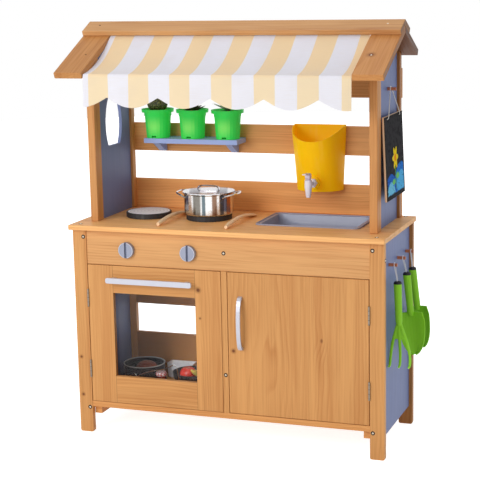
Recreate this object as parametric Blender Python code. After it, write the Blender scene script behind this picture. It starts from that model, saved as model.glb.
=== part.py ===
"""A children's mud kitchen in pine: a cabinet with an oven and a cupboard, a worktop with a sink and
two hob plates, and a gabled frame above it with a striped awning, shelf, water dispenser and board.

Metres, +Z up. X runs along the worktop, -Y is the front and Z = 0 is the floor. The lengths below
are measured from the middle of the worktop; the kitchen is then moved so that the origin lies at
the middle of its footprint.
"""

import math

import bmesh
import bpy
from mathutils import Matrix, Vector

# Gap that pieces resting on each other keep, and the sanded edge of every board
GAP = 0.0003
EDGE = 0.0012

# Worktop
TOP_WIDTH = 0.900
TOP_DEPTH = 0.360
TOP_THICK = 0.014
TOP_HEIGHT = 0.600
TOP_SIDE_OVERHANG = 0.005
TOP_FRONT_OVERHANG = 0.018
TOP_BACK_OVERHANG = 0.004

# Legs and the boards between them
LEG_WIDTH = 0.040
LEG_THICK = 0.016
FOOT_ROUND = 0.005
APRON_HEIGHT = 0.097
APRON_THICK = 0.013
APRON_SETBACK = 0.003
SIDE_PANEL_THICK = 0.009
SIDE_PANEL_SETBACK = 0.010
SIDE_PANEL_FOOT = 0.054
FLOOR_HEIGHT = 0.092
FLOOR_THICK = 0.016
FLOOR_SETBACK = 0.001
BATTEN_WIDTH = 0.021
BATTEN_HEIGHT = 0.024
DIVIDER_THICK = 0.016
DIVIDER_SHIFT = 0.001
BACK_THICK = 0.012
BACK_LOWER_FOOT = 0.078
BACK_LOWER_HEIGHT = 0.138
BACK_OPEN_HEIGHT = 0.088

# Doors
DOOR_THICK = 0.016
DOOR_GAP = 0.0015
HINGE_GAP = 0.0022
STILE_WIDTH = 0.075
RAIL_HEIGHT = 0.077
PANE_THICK = 0.002
PANE_LAP = 0.008
PANE_CLEARANCE = 0.0005
HINGE_HEIGHT = 0.050
HINGE_INSET = 0.070
HINGE_LEAF = 0.0012
KNUCKLE_RADIUS = 0.0025
LEAF_DEPTH = 0.013

# Oven handle and cupboard handle
OVEN_HANDLE_LENGTH = 0.254
OVEN_HANDLE_HEIGHT = 0.015
OVEN_HANDLE_THICK = 0.006
OVEN_HANDLE_REACH = 0.024
OVEN_HANDLE_DROP = 0.038
OVEN_HANDLE_SHIFT = -0.007
HANDLE_POST_WIDTH = 0.012
HANDLE_POST_INSET = 0.012
BOW_LENGTH = 0.149
BOW_WIDTH = 0.011
BOW_THICK = 0.005
BOW_REACH = 0.024
BOW_INSET = 0.037
BOW_DROP = 0.065

# Knobs
KNOB_RADIUS = 0.022
KNOB_THICK = 0.013
KNOB_GROOVE = 0.0065
KNOB_GROOVE_DEPTH = 0.003
KNOB_SHAFT = 0.004
KNOB_SPACING = 0.182
KNOBS_FROM_LEFT = 0.259
KNOB_DROP = 0.066
SHAFT_CLEARANCE = 0.0005

# Sink
SINK_WIDTH = 0.295
SINK_DEPTH = 0.190
SINK_FROM_RIGHT = 0.2475
SINK_Y = 0.035
SINK_BOWL = 0.058
SINK_FLANGE = 0.011
SINK_WALL = 0.0015
SINK_TAPER = 0.010
SINK_CORNER = 0.015
SINK_CLEARANCE = 0.002
SINK_LIP = 0.0035
SINK_LIP_WIDTH = 0.0022

# Hob plates, pot and lid
HOB_RADIUS = 0.0645
HOB_THICK = 0.015
HOB_SPACING = 0.184
HOB_FROM_LEFT = 0.255
HOB_Y = 0.010
POT_RADIUS = 0.0695
POT_HEIGHT = 0.062
POT_WALL = 0.0018
POT_LIP = 0.0045
POT_HANDLE_REACH = 0.020
POT_HANDLE_SPREAD = 38.0
POT_HANDLE_DROP = 0.014
POT_HANDLE_RADIUS = 0.0026
LID_RISE = 0.0045
LID_THICK = 0.0016
LID_HANDLE_WIDTH = 0.064
LID_HANDLE_HEIGHT = 0.010
LID_HANDLE_RADIUS = 0.0026

# Wooden spoons
SPOON_LENGTH = 0.224
SPOON_THICK = 0.013
SPOON_HEAD_WIDTH = 0.034
SPOON_HEAD_LENGTH = 0.070
SPOON_BOW = 0.010
SPOON_FRONT = -0.140
LEFT_SPOON_FROM_POT = -0.093
RIGHT_SPOON_FROM_POT = 0.105

# Upper frame
FRONT_POST_WIDTH = 0.022
FRONT_POST_DEPTH = 0.038
BACK_POST_WIDTH = 0.024
BACK_POST_DEPTH = 0.022
FRAME_INSET = 0.037
FRONT_POST_Y = -0.108
BACK_POST_Y = 0.136
UPPER_PANEL_THICK = 0.009
UPPER_PANEL_RECESS = 0.005
CUTOUT_WIDTH = 0.108
CUTOUT_HALF_HEIGHT = 0.090
CUTOUT_BELOW_MIDDLE = 0.063
CUTOUT_HEIGHT = 0.263
CUTOUT_Y = 0.029
RAIL_THICK = 0.012
SPLASH_HEIGHT = 0.085
RAIL_WIDTH = 0.082
MIDDLE_RAIL_FOOT = 0.168
TOP_RAIL_FOOT = 0.330

# Roof
RIDGE_Y = 0.0215
RIDGE_HEIGHT = 0.5334
ROOF_SLOPE = 0.47
ROOF_BOARD_THICK = 0.0175
ROOF_BOARD_WIDTH = 0.082
ROOF_HALF_WIDTH = 0.456
FRONT_EAVE = 0.2375
BACK_EAVE = 0.152
CAP_THICK = 0.0145
CAP_REACH = 0.048

# Awning
AWNING_THICK = 0.0016
AWNING_SIDE_GAP = 0.002
AWNING_SAG = 0.0165
AWNING_CREASE_Y = -0.206
AWNING_CREASE_HEIGHT = 0.418
AWNING_TUCK = 0.028
SCALLOP_WIDTH = 0.1473
SCALLOP_SHIFT = -0.009
SCALLOP_DEPTH = 0.027
VALANCE_DROP = 0.061
VALANCE_FLARE = 0.004
AWNING_BILLOW = 0.0015
RAIL_STRIP_DEPTH = 0.020
RAIL_STRIP_HEIGHT = 0.010

# Shelf and plant pots
SHELF_FROM_LEFT = 0.1225
SHELF_WIDTH = 0.285
SHELF_DEPTH = 0.076
SHELF_THICK = 0.0135
SHELF_HEIGHT = 0.213
BRACKET_THICK = 0.018
BRACKET_DEPTH = 0.064
BRACKET_HEIGHT = 0.029
BRACKET_INSET = 0.022
PLANT_POT_HEIGHT = 0.0825
PLANT_POT_RIM = 0.047
PLANT_POT_BAND = 0.009
PLANT_POT_COLLAR = 0.0395
PLANT_POT_COLLAR_DROP = 0.0185
PLANT_POT_BODY = 0.0383
PLANT_POT_BASE = 0.0337
PLANT_POT_WALL = 0.002
PLANT_POT_SPACING = 0.1073
PLANT_POT_SHIFT = -0.004
PLANT_POT_Y = 0.1165
PLANT_POT_NOTCH = 0.007

# Water dispenser and its tap
TANK_FROM_RIGHT = 0.269
TANK_FOOT = 0.072
TANK_BACK_HEIGHT = 0.183
TANK_RIM_DIP = 0.039
TANK_HALF_WIDTH_FOOT = 0.066
TANK_HALF_WIDTH_RIM = 0.075
TANK_DEPTH_FOOT = 0.062
TANK_DEPTH_RIM = 0.105
TANK_WALL = 0.0025
HOOK_WIDTH = 0.024
HOOK_SPACING = 0.090
HOOK_THICK = 0.0025
HOOK_DROP = 0.013
TAP_HEIGHT = 0.100
TAP_REACH = 0.046
TAP_STEM = 0.005
TAP_RADIUS = 0.0105
TAP_SPOUT = 0.034
TAP_HEAD = 0.014
TAP_BORE = 0.0035
NUT_RADIUS = 0.0135
NUT_THICK = 0.008
BOSS_RADIUS = 0.0185
BOSS_STEP = 0.003
LEVER_HUB = 0.0095
LEVER_WIDTH = 0.013
LEVER_LENGTH = 0.040
LEVER_THICK = 0.0035

# Blackboard on its peg
BOARD_WIDTH = 0.200
BOARD_HEIGHT = 0.2227
BOARD_THICK = 0.007
BOARD_TOP = 0.2997
BOARD_LEAN = 2.3
BOARD_Y = 0.030
BOARD_STANDOFF = 0.0013
BOARD_HOLE = 0.0026
BOARD_HOLE_SPREAD = 0.066
BOARD_HOLE_DROP = 0.008
BOARD_PEG_HEIGHT = 0.3665
BOARD_PEG_LENGTH = 0.0235
CORD_RADIUS = 0.0012
CORD_ON_PEG = 0.0095
KNOT_RADIUS = 0.0034

# Tool pegs and the tools that hang on them
PEG_RADIUS = 0.0045
PEG_LENGTH = 0.023
PEG_DROP = 0.087
PEG_SPACING = 0.095
PEG_MIDDLE = 0.018
STRING_RADIUS = 0.0011
STRING_FROM_PANEL = 0.016
TOOL_DROP = 0.039
TOOL_HANDLE_RADIUS = 0.011
TOOL_GRIP = 0.108
RAKE_FROM_PANEL = 0.024
RAKE_DROP = 0.005
RAKE_LEAN = 2.0
RAKE_PALM_LENGTH = 0.052
RAKE_PALM_HALF_WIDTH = 0.013
RAKE_PALM_THICK = 0.0042
TINE_LENGTH = 0.125
TINE_SPREAD = 0.027
TINE_RADIUS = 0.0041
FRONT_SHOVEL_FROM_PANEL = 0.026
FRONT_SHOVEL_LEAN = 5.8
REAR_SHOVEL_FROM_PANEL = 0.0195
REAR_SHOVEL_LEAN = 7.5
REAR_SHOVEL_DROP = 0.0055
BLADE_LENGTH = 0.118
FRONT_BLADE_HALF_WIDTH = 0.038
REAR_BLADE_HALF_WIDTH = 0.032
BLADE_THICK = 0.0026
BLADE_DISH = 0.013

# Toy pan and bowl on the oven floor
PAN_RADIUS = 0.062
PAN_HEIGHT = 0.055
PAN_WALL = 0.002
PAN_FROM_LEFT = 0.105
PAN_Y = 0.073
BOWL_RADIUS = 0.058
BOWL_FOOT = 0.030
BOWL_HEIGHT = 0.042
BOWL_WALL = 0.002
BOWL_FROM_PAN = 0.157
BOWL_Y = 0.062

# Faces round a turned piece: large, middling and small
STEPS_LARGE = 32
STEPS_MIDDLE = 24
STEPS_SMALL = 12

# Colour, roughness and metallic value of each finish
FINISHES = {
    "pine": ((0.68, 0.36, 0.15), 0.55, 0.0),
    "blue_panel": ((0.13, 0.16, 0.34), 0.55, 0.0),
    "pale_blue": ((0.30, 0.38, 0.69), 0.50, 0.0),
    "canvas": ((0.83, 0.66, 0.42), 0.90, 0.0),
    "silver": ((0.50, 0.52, 0.62), 0.35, 0.6),
    "steel": ((0.62, 0.60, 0.58), 0.18, 1.0),
    "black": ((0.015, 0.015, 0.02), 0.45, 0.0),
    "sink_grey": ((0.30, 0.33, 0.40), 0.40, 0.3),
    "yellow": ((0.87, 0.55, 0.0), 0.35, 0.0),
    "white": ((0.75, 0.75, 0.80), 0.35, 0.0),
    "leaf_green": ((0.03, 0.45, 0.06), 0.40, 0.0),
    "tool_green": ((0.10, 0.38, 0.02), 0.40, 0.0),
    "clear": ((0.75, 0.80, 0.85), 0.05, 0.0),
}

# Planes that several pieces share
TOP_UNDER = TOP_HEIGHT - TOP_THICK
FRONT = -TOP_DEPTH / 2 + TOP_FRONT_OVERHANG
BACK = TOP_DEPTH / 2 - TOP_BACK_OVERHANG
LEG_OUTER = TOP_WIDTH / 2 - TOP_SIDE_OVERHANG
LEG_INNER = LEG_OUTER - LEG_WIDTH
PANEL_OUTER = LEG_OUTER - SIDE_PANEL_SETBACK
PANEL_INNER = PANEL_OUTER - SIDE_PANEL_THICK
DIVIDER_LEFT = DIVIDER_SHIFT - DIVIDER_THICK / 2
DIVIDER_RIGHT = DIVIDER_SHIFT + DIVIDER_THICK / 2
APRON_FOOT = TOP_UNDER - APRON_HEIGHT
DOOR_FOOT = FLOOR_HEIGHT + DOOR_GAP
DOOR_HEAD = APRON_FOOT - DOOR_GAP
FRAME_OUTER = TOP_WIDTH / 2 - FRAME_INSET
POST_INNER = FRAME_OUTER - FRONT_POST_WIDTH
UPPER_PANEL_INNER = POST_INNER + UPPER_PANEL_RECESS
UPPER_PANEL_OUTER = UPPER_PANEL_INNER + UPPER_PANEL_THICK
RAIL_FRONT = BACK_POST_Y + BACK_POST_DEPTH + GAP
SLOPE_STRETCH = math.hypot(1, ROOF_SLOPE)
PEG_HEIGHT = TOP_HEIGHT - PEG_DROP
SINK_MIDDLE = (TOP_WIDTH / 2 - SINK_FROM_RIGHT, SINK_Y)
SHELF_LEFT = SHELF_FROM_LEFT - TOP_WIDTH / 2
TANK_X = TOP_WIDTH / 2 - TANK_FROM_RIGHT
PAN_X = PAN_FROM_LEFT - TOP_WIDTH / 2


def solid(vertices, faces):
    """A new object from points and faces, its doubled points merged and its faces turned outwards."""
    mesh = bpy.data.meshes.new("shape")
    mesh.from_pydata([tuple(point) for point in vertices], [], faces)
    shape = bmesh.new()
    shape.from_mesh(mesh)
    bmesh.ops.remove_doubles(shape, verts=shape.verts, dist=1e-6)
    bmesh.ops.recalc_face_normals(shape, faces=shape.faces)
    shape.to_mesh(mesh)
    shape.free()
    piece = bpy.data.objects.new("shape", mesh)
    bpy.context.collection.objects.link(piece)
    return piece


def prism(outline, axis, low, high):
    """A flat outline carried along an axis. Its two numbers are the other two axes, in their order."""

    def point(first, second, along):
        return {
            "X": (along, first, second),
            "Y": (first, along, second),
            "Z": (first, second, along),
        }[axis]

    count = len(outline)
    vertices = [point(a, b, along) for along in (low, high) for a, b in outline]
    faces = [tuple(range(count)), tuple(range(count, 2 * count))]
    for i in range(count):
        after = (i + 1) % count
        faces.append((i, after, count + after, count + i))
    return solid(vertices, faces)


def block(left, right, front, back, foot, head):
    return prism([(left, front), (right, front), (right, back), (left, back)], "Z", foot, head)


def stack(rings):
    """Rings of points joined one to the next, with the first and the last filled."""
    count = len(rings[0])
    vertices = [point for ring in rings for point in ring]
    faces = [tuple(range(count)), tuple(range(len(vertices) - count, len(vertices)))]
    for ring in range(len(rings) - 1):
        for i in range(count):
            a = ring * count + i
            b = ring * count + (i + 1) % count
            faces.append((a, b, b + count, a + count))
    return solid(vertices, faces)


def lathe(profile, steps, place=Matrix.Identity(4)):
    """A profile of (radius, height) points from axis to axis, turned about Z and then placed."""
    vertices = []
    for radius, height in profile:
        for step in range(steps):
            angle = 2 * math.pi * step / steps
            vertices.append((radius * math.cos(angle), radius * math.sin(angle), height))
    faces = []
    for ring in range(len(profile) - 1):
        for i in range(steps):
            a = ring * steps + i
            b = ring * steps + (i + 1) % steps
            faces.append((a, b, b + steps, a + steps))
    piece = solid(vertices, faces)
    piece.data.transform(place)
    return piece


def rod(start, end, radius, steps=STEPS_SMALL):
    """A round bar between two points."""
    axis = Vector(end) - Vector(start)
    turn = Vector((0, 0, 1)).rotation_difference(axis).to_matrix().to_4x4()
    profile = [(0, 0), (radius, 0), (radius, axis.length), (0, axis.length)]
    return lathe(profile, steps, Matrix.Translation(start) @ turn)


def ball(centre, radius, steps=STEPS_SMALL):
    count = steps // 2
    angles = [math.pi * i / count - math.pi / 2 for i in range(count + 1)]
    profile = [(radius * math.cos(a), radius * math.sin(a)) for a in angles]
    return lathe(profile, steps, Matrix.Translation(centre))


def tube(points, radii, sides=8, flatten=1.0):
    """A bar along a path, with one radius for each point. Flatten thins it across the path."""
    points = [Vector(point) for point in points]
    if isinstance(radii, float):
        radii = [radii] * len(points)
    last = len(points) - 1
    normal = (points[1] - points[0]).orthogonal()
    rings = []
    for i, point in enumerate(points):
        tangent = (points[min(i + 1, last)] - points[max(i - 1, 0)]).normalized()
        normal = (normal - tangent * normal.dot(tangent)).normalized()
        side = tangent.cross(normal)
        ring = []
        for k in range(sides):
            angle = 2 * math.pi * (k + 0.5) / sides
            across = normal * math.cos(angle) + side * math.sin(angle) * flatten
            ring.append(point + across * radii[i])
        rings.append(ring)
    return stack(rings)


def curve_through(points, spans=4):
    """Points of a smooth curve that passes through the given ones."""
    points = [Vector(point) for point in points]
    ends = [2 * points[0] - points[1]] + points + [2 * points[-1] - points[-2]]
    curve = []
    for i in range(1, len(ends) - 2):
        before, start, end, after = ends[i - 1 : i + 3]
        for step in range(spans):
            t = step / spans
            curve.append(
                0.5
                * (
                    2 * start
                    + (end - before) * t
                    + (2 * before - 5 * start + 4 * end - after) * t * t
                    + (3 * start - before - 3 * end + after) * t * t * t
                )
            )
    return curve + [points[-1]]


def sheet(grid, thickness):
    """A closed skin of even thickness about a grid of points."""
    rows = len(grid)
    columns = len(grid[0])
    sides = {1: [], -1: []}
    for i in range(rows):
        for j in range(columns):
            along = grid[min(i + 1, rows - 1)][j] - grid[max(i - 1, 0)][j]
            across = grid[i][min(j + 1, columns - 1)] - grid[i][max(j - 1, 0)]
            normal = along.cross(across).normalized()
            for side, points in sides.items():
                points.append(grid[i][j] + normal * side * thickness / 2)
    count = rows * columns
    faces = []
    for i in range(rows - 1):
        for j in range(columns - 1):
            a = i * columns + j
            faces.append((a, a + 1, a + columns + 1, a + columns))
            faces.append((a + count, a + columns + count, a + columns + 1 + count, a + 1 + count))
    border = [j for j in range(columns)]
    border += [i * columns + columns - 1 for i in range(1, rows)]
    border += [(rows - 1) * columns + j for j in range(columns - 2, -1, -1)]
    border += [i * columns for i in range(rows - 2, 0, -1)]
    for a, b in zip(border, border[1:] + border[:1]):
        faces.append((a, b, b + count, a + count))
    return solid(sides[1] + sides[-1], faces)


def combine(target, other, operation):
    """Cuts the other solid from the target, or joins it on, and removes the other."""
    modifier = target.modifiers.new(operation.lower(), "BOOLEAN")
    modifier.operation = operation
    modifier.object = other
    modifier.solver = "EXACT"
    bpy.context.view_layer.update()
    with bpy.context.temp_override(object=target, active_object=target):
        bpy.ops.object.modifier_apply(modifier=modifier.name)
    bpy.data.objects.remove(other)
    return target


def cut(target, *cutters):
    for cutter in cutters:
        combine(target, cutter, "DIFFERENCE")
    return target


def join(target, *others):
    for other in others:
        combine(target, other, "UNION")
    return target


def material_for(name, finish):
    """The piece's own material, in one of the finishes."""
    colour, roughness, metallic = FINISHES[finish]
    material = bpy.data.materials.new(name)
    material.use_nodes = True
    shader = material.node_tree.nodes["Principled BSDF"]
    shader.inputs["Base Color"].default_value = (*colour, 1.0)
    shader.inputs["Roughness"].default_value = roughness
    shader.inputs["Metallic"].default_value = metallic
    material.diffuse_color = (*colour, 1.0)
    return material


def finish(piece, name, look, carrier, smooth=False, edge=0.0):
    """Names a shaped solid, gives it its material and sanded edges, and hangs it on its carrier."""
    piece.name = name
    piece.data.name = name
    piece.data.materials.clear()
    piece.data.materials.append(material_for(name, look))
    piece.parent = carrier
    if carrier is not kitchen:
        piece.data.transform(Matrix.Translation(-carrier.location))
    if smooth:
        piece.data.shade_smooth()
        piece.data.set_sharp_from_angle(angle=math.radians(35))
    if edge:
        bevel = piece.modifiers.new("sanded_edge", "BEVEL")
        bevel.width = edge
        bevel.segments = 1
        bevel.limit_method = "ANGLE"
        bevel.angle_limit = math.radians(50)
    return piece


def board(name, carrier, left, right, front, back, foot, head, look="pine"):
    """A plain sawn board."""
    return finish(block(left, right, front, back, foot, head), name, look, carrier, edge=EDGE)


def axis_empty(name, place, carrier=None):
    """An empty that stands on a joint's axis and carries the pieces that move about it."""
    empty = bpy.data.objects.new(name, None)
    empty.empty_display_size = 0.03
    bpy.context.collection.objects.link(empty)
    if carrier is None:
        empty.parent = kitchen
    else:
        empty.parent = carrier
        empty.matrix_parent_inverse = Matrix.Translation(-carrier.location)
    empty.location = place
    return empty


def rounded_rectangle(middle, width, depth, corner, height, arcs=4):
    """A level ring of points round a rectangle with round corners."""
    ring = []
    for quarter, (sx, sy) in enumerate(((1, 1), (-1, 1), (-1, -1), (1, -1))):
        x = middle[0] + sx * (width / 2 - corner)
        y = middle[1] + sy * (depth / 2 - corner)
        for step in range(arcs + 1):
            angle = math.pi / 2 * (quarter + step / arcs)
            ring.append((x + corner * math.cos(angle), y + corner * math.sin(angle), height))
    return ring


def roof_top(y):
    """Height of the roof boards' upper face."""
    return TOP_HEIGHT + RIDGE_HEIGHT - ROOF_SLOPE * abs(y - RIDGE_Y)


def roof_under(y):
    """Height of the roof boards' lower face."""
    return roof_top(y) - ROOF_BOARD_THICK * SLOPE_STRETCH


def make_worktop():
    top = block(
        -TOP_WIDTH / 2, TOP_WIDTH / 2, -TOP_DEPTH / 2, TOP_DEPTH / 2, TOP_UNDER, TOP_HEIGHT
    )
    ring = rounded_rectangle(
        SINK_MIDDLE,
        SINK_WIDTH - 2 * SINK_FLANGE + 2 * SINK_CLEARANCE,
        SINK_DEPTH - 2 * SINK_FLANGE + 2 * SINK_CLEARANCE,
        SINK_CORNER,
        0,
    )
    outline = [(x, y) for x, y, _ in ring]
    cut(top, prism(outline, "Z", TOP_UNDER - 0.01, TOP_HEIGHT + 0.01))
    finish(top, "countertop", "pine", kitchen, edge=EDGE)


def leg_outline(outer, inner):
    """A leg's front view: square at the head and rounded at the foot."""
    left, right = min(outer, inner), max(outer, inner)
    outline = [(right, TOP_UNDER - GAP), (left, TOP_UNDER - GAP)]
    for x, start in ((left + FOOT_ROUND, math.pi), (right - FOOT_ROUND, 1.5 * math.pi)):
        for step in range(4):
            angle = start + math.pi / 2 * step / 3
            outline.append((x + FOOT_ROUND * math.cos(angle), FOOT_ROUND + FOOT_ROUND * math.sin(angle)))
    return outline


def make_legs():
    for side, sign in (("left", -1), ("right", 1)):
        outline = leg_outline(sign * LEG_OUTER, sign * LEG_INNER)
        front = prism(outline, "Y", FRONT, FRONT + LEG_THICK)
        finish(front, f"front_{side}_leg", "pine", kitchen)
        back = prism(outline, "Y", BACK - LEG_THICK, BACK)
        finish(back, f"back_{side}_leg", "pine", kitchen)


def make_side_panels():
    front = FRONT + LEG_THICK + GAP
    back = BACK - LEG_THICK - GAP
    for side, sign in (("left", -1), ("right", 1)):
        faces = sorted((sign * PANEL_INNER, sign * PANEL_OUTER))
        panel = block(*faces, front, back, SIDE_PANEL_FOOT, TOP_UNDER - GAP)
        if side == "right":
            for place in peg_places():
                peg = rod(
                    (PANEL_INNER + SIDE_PANEL_THICK / 2, place, PEG_HEIGHT),
                    (PANEL_OUTER + PEG_LENGTH, place, PEG_HEIGHT),
                    PEG_RADIUS,
                )
                join(panel, peg)
        finish(panel, f"{side}_side_panel", "blue_panel", kitchen)


def peg_places():
    return [PEG_MIDDLE + PEG_SPACING * step for step in (-1, 0, 1)]


def make_floor():
    """The floor board, notched round the front legs, with the two battens that carry it."""
    narrow = LEG_INNER - GAP
    wide = PANEL_INNER - GAP
    front = FRONT + FLOOR_SETBACK
    notch = FRONT + LEG_THICK + GAP
    back = BACK - LEG_THICK - GAP
    outline = [
        (-narrow, front),
        (narrow, front),
        (narrow, notch),
        (wide, notch),
        (wide, back),
        (-wide, back),
        (-wide, notch),
        (-narrow, notch),
    ]
    foot = FLOOR_HEIGHT - FLOOR_THICK
    floor = prism(outline, "Z", foot, FLOOR_HEIGHT)
    for sign in (-1, 1):
        sides = sorted((sign * narrow, sign * (narrow - BATTEN_WIDTH)))
        join(floor, block(*sides, notch, back, foot - BATTEN_HEIGHT, foot + FLOOR_THICK / 2))
    finish(floor, "floor_board", "pine", kitchen)


def make_divider():
    """The upright between oven and cupboard, notched for the apron."""
    back = BACK - LEG_THICK - GAP
    notch = FRONT + LEG_THICK + GAP
    outline = [
        (FRONT, FLOOR_HEIGHT + GAP),
        (back, FLOOR_HEIGHT + GAP),
        (back, TOP_UNDER - GAP),
        (notch, TOP_UNDER - GAP),
        (notch, APRON_FOOT - GAP),
        (FRONT, APRON_FOOT - GAP),
    ]
    divider = prism(outline, "X", DIVIDER_LEFT, DIVIDER_RIGHT)
    finish(divider, "centre_divider", "pine", kitchen)


def knob_places():
    middle = KNOBS_FROM_LEFT - TOP_WIDTH / 2
    return {"left_knob": middle - KNOB_SPACING / 2, "right_knob": middle + KNOB_SPACING / 2}


def make_apron():
    half = LEG_INNER - GAP
    front = FRONT + APRON_SETBACK
    apron = block(-half, half, front, front + APRON_THICK, APRON_FOOT, TOP_UNDER - GAP)
    height = TOP_HEIGHT - KNOB_DROP
    for x in knob_places().values():
        start = (x, front - 0.01, height)
        end = (x, front + APRON_THICK + 0.01, height)
        cut(apron, rod(start, end, KNOB_SHAFT + SHAFT_CLEARANCE))
    finish(apron, "front_apron", "pine", kitchen)


def make_back():
    half = LEG_INNER - GAP
    front = BACK - LEG_THICK + GAP
    back = front + BACK_THICK
    lower_head = BACK_LOWER_FOOT + BACK_LOWER_HEIGHT
    upper_foot = lower_head + BACK_OPEN_HEIGHT
    board("back_lower_board", kitchen, -half, half, front, back, BACK_LOWER_FOOT, lower_head)
    board("back_upper_board", kitchen, -half, half, front, back, upper_foot, TOP_UNDER - GAP)


def hinge(name, sign, height):
    """The leaf on the leg and the knuckle of one butt hinge."""
    foot = height - HINGE_HEIGHT / 2
    head = height + HINGE_HEIGHT / 2
    x = sign * (LEG_INNER - HINGE_GAP / 2)
    y = FRONT - KNUCKLE_RADIUS - GAP
    knuckle = rod((x, y, foot), (x, y, head), KNUCKLE_RADIUS)
    faces = sorted((sign * (LEG_INNER - GAP), sign * (LEG_INNER - GAP - HINGE_LEAF)))
    leaf = block(*faces, y, FRONT + LEAF_DEPTH, foot, head)
    finish(join(knuckle, leaf), name, "steel", kitchen, smooth=True)


def make_hinges():
    for door, sign in (("oven", -1), ("cupboard", 1)):
        hinge(f"{door}_upper_hinge", sign, DOOR_HEAD - HINGE_INSET - HINGE_HEIGHT / 2)
        hinge(f"{door}_lower_hinge", sign, DOOR_FOOT + HINGE_INSET + HINGE_HEIGHT / 2)


def hinge_axis(sign):
    return (sign * (LEG_INNER - HINGE_GAP / 2), FRONT - KNUCKLE_RADIUS - GAP, DOOR_FOOT)


def make_oven_door():
    carrier = axis_empty("oven_door_axis", hinge_axis(-1))
    left = -LEG_INNER + HINGE_GAP
    right = DIVIDER_LEFT - DOOR_GAP
    back = FRONT + DOOR_THICK
    frame = block(left, right, FRONT, back, DOOR_FOOT, DOOR_HEAD)
    opening = (left + STILE_WIDTH, right - STILE_WIDTH, DOOR_FOOT + RAIL_HEIGHT, DOOR_HEAD - RAIL_HEIGHT)
    rebate = PANE_THICK + PANE_CLEARANCE
    cut(
        frame,
        block(opening[0], opening[1], FRONT - 0.01, back + 0.01, opening[2], opening[3]),
        block(
            opening[0] - PANE_LAP,
            opening[1] + PANE_LAP,
            back - rebate,
            back + 0.01,
            opening[2] - PANE_LAP,
            opening[3] + PANE_LAP,
        ),
    )
    finish(frame, "oven_door_frame", "pine", carrier, edge=EDGE)
    lap = PANE_LAP - PANE_CLEARANCE
    pane = block(
        opening[0] - lap,
        opening[1] + lap,
        back - rebate + GAP,
        back - rebate + GAP + PANE_THICK,
        opening[2] - lap,
        opening[3] + lap,
    )
    finish(pane, "oven_window", "clear", carrier)
    make_oven_handle(carrier, (left + right) / 2 + OVEN_HANDLE_SHIFT, DOOR_HEAD - OVEN_HANDLE_DROP)


def make_oven_handle(carrier, x, height):
    """A flat bar on two short posts."""
    front = FRONT - OVEN_HANDLE_REACH
    half = OVEN_HANDLE_LENGTH / 2
    end = OVEN_HANDLE_HEIGHT / 2
    outline = []
    for sign, start in ((1, -math.pi / 2), (-1, math.pi / 2)):
        for step in range(7):
            angle = start + math.pi * step / 6
            outline.append(
                (x + sign * (half - end / 2) + end / 2 * math.cos(angle), height + end * math.sin(angle))
            )
    bar = prism(outline, "Y", front, front + OVEN_HANDLE_THICK)
    for sign in (-1, 1):
        post = x + sign * (half - HANDLE_POST_INSET - HANDLE_POST_WIDTH / 2)
        join(
            bar,
            block(
                post - HANDLE_POST_WIDTH / 2,
                post + HANDLE_POST_WIDTH / 2,
                front + OVEN_HANDLE_THICK / 2,
                FRONT - GAP,
                height - OVEN_HANDLE_HEIGHT / 3,
                height + OVEN_HANDLE_HEIGHT / 3,
            ),
        )
    finish(bar, "oven_handle", "silver", carrier)


def make_cupboard_door():
    carrier = axis_empty("cupboard_door_axis", hinge_axis(1))
    left = DIVIDER_RIGHT + DOOR_GAP
    right = LEG_INNER - HINGE_GAP
    board("cupboard_door", carrier, left, right, FRONT, FRONT + DOOR_THICK, DOOR_FOOT, DOOR_HEAD)
    head = DOOR_HEAD - BOW_DROP
    middle = head - BOW_LENGTH / 2
    face = FRONT - GAP
    outer = []
    inner = []
    count = 12
    for step in range(count + 1):
        turn = math.pi * step / count
        reach = math.sin(turn) ** 0.7
        along = math.cos(turn)
        outer.append((face - BOW_REACH * reach, middle + BOW_LENGTH / 2 * along))
        inner.append(
            (face - (BOW_REACH - BOW_THICK) * reach, middle + (BOW_LENGTH / 2 - 1.6 * BOW_THICK) * along)
        )
    x = left + BOW_INSET
    bow = prism(outer + inner[::-1], "X", x - BOW_WIDTH / 2, x + BOW_WIDTH / 2)
    finish(bow, "cupboard_handle", "silver", carrier, smooth=True)


def make_knobs():
    height = TOP_HEIGHT - KNOB_DROP
    apron_front = FRONT + APRON_SETBACK
    forward = Matrix.Rotation(math.pi / 2, 4, "X")
    for name, x in knob_places().items():
        carrier = axis_empty(f"{name}_axis", (x, apron_front, height))
        tail = APRON_THICK + 0.006
        round_over = 0.0015
        profile = [
            (0, -tail),
            (KNOB_SHAFT, -tail),
            (KNOB_SHAFT, GAP),
            (KNOB_RADIUS, GAP),
            (KNOB_RADIUS, KNOB_THICK - round_over),
            (KNOB_RADIUS - round_over, KNOB_THICK),
            (0, KNOB_THICK),
        ]
        knob = lathe(profile, STEPS_LARGE, Matrix.Translation((x, apron_front, height)) @ forward)
        face = apron_front - KNOB_THICK
        groove = block(
            x - KNOB_GROOVE / 2,
            x + KNOB_GROOVE / 2,
            face - 0.01,
            face + KNOB_GROOVE_DEPTH,
            height - 2 * KNOB_RADIUS,
            height + 2 * KNOB_RADIUS,
        )
        finish(cut(knob, groove), name, "silver", carrier, smooth=True)


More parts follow.
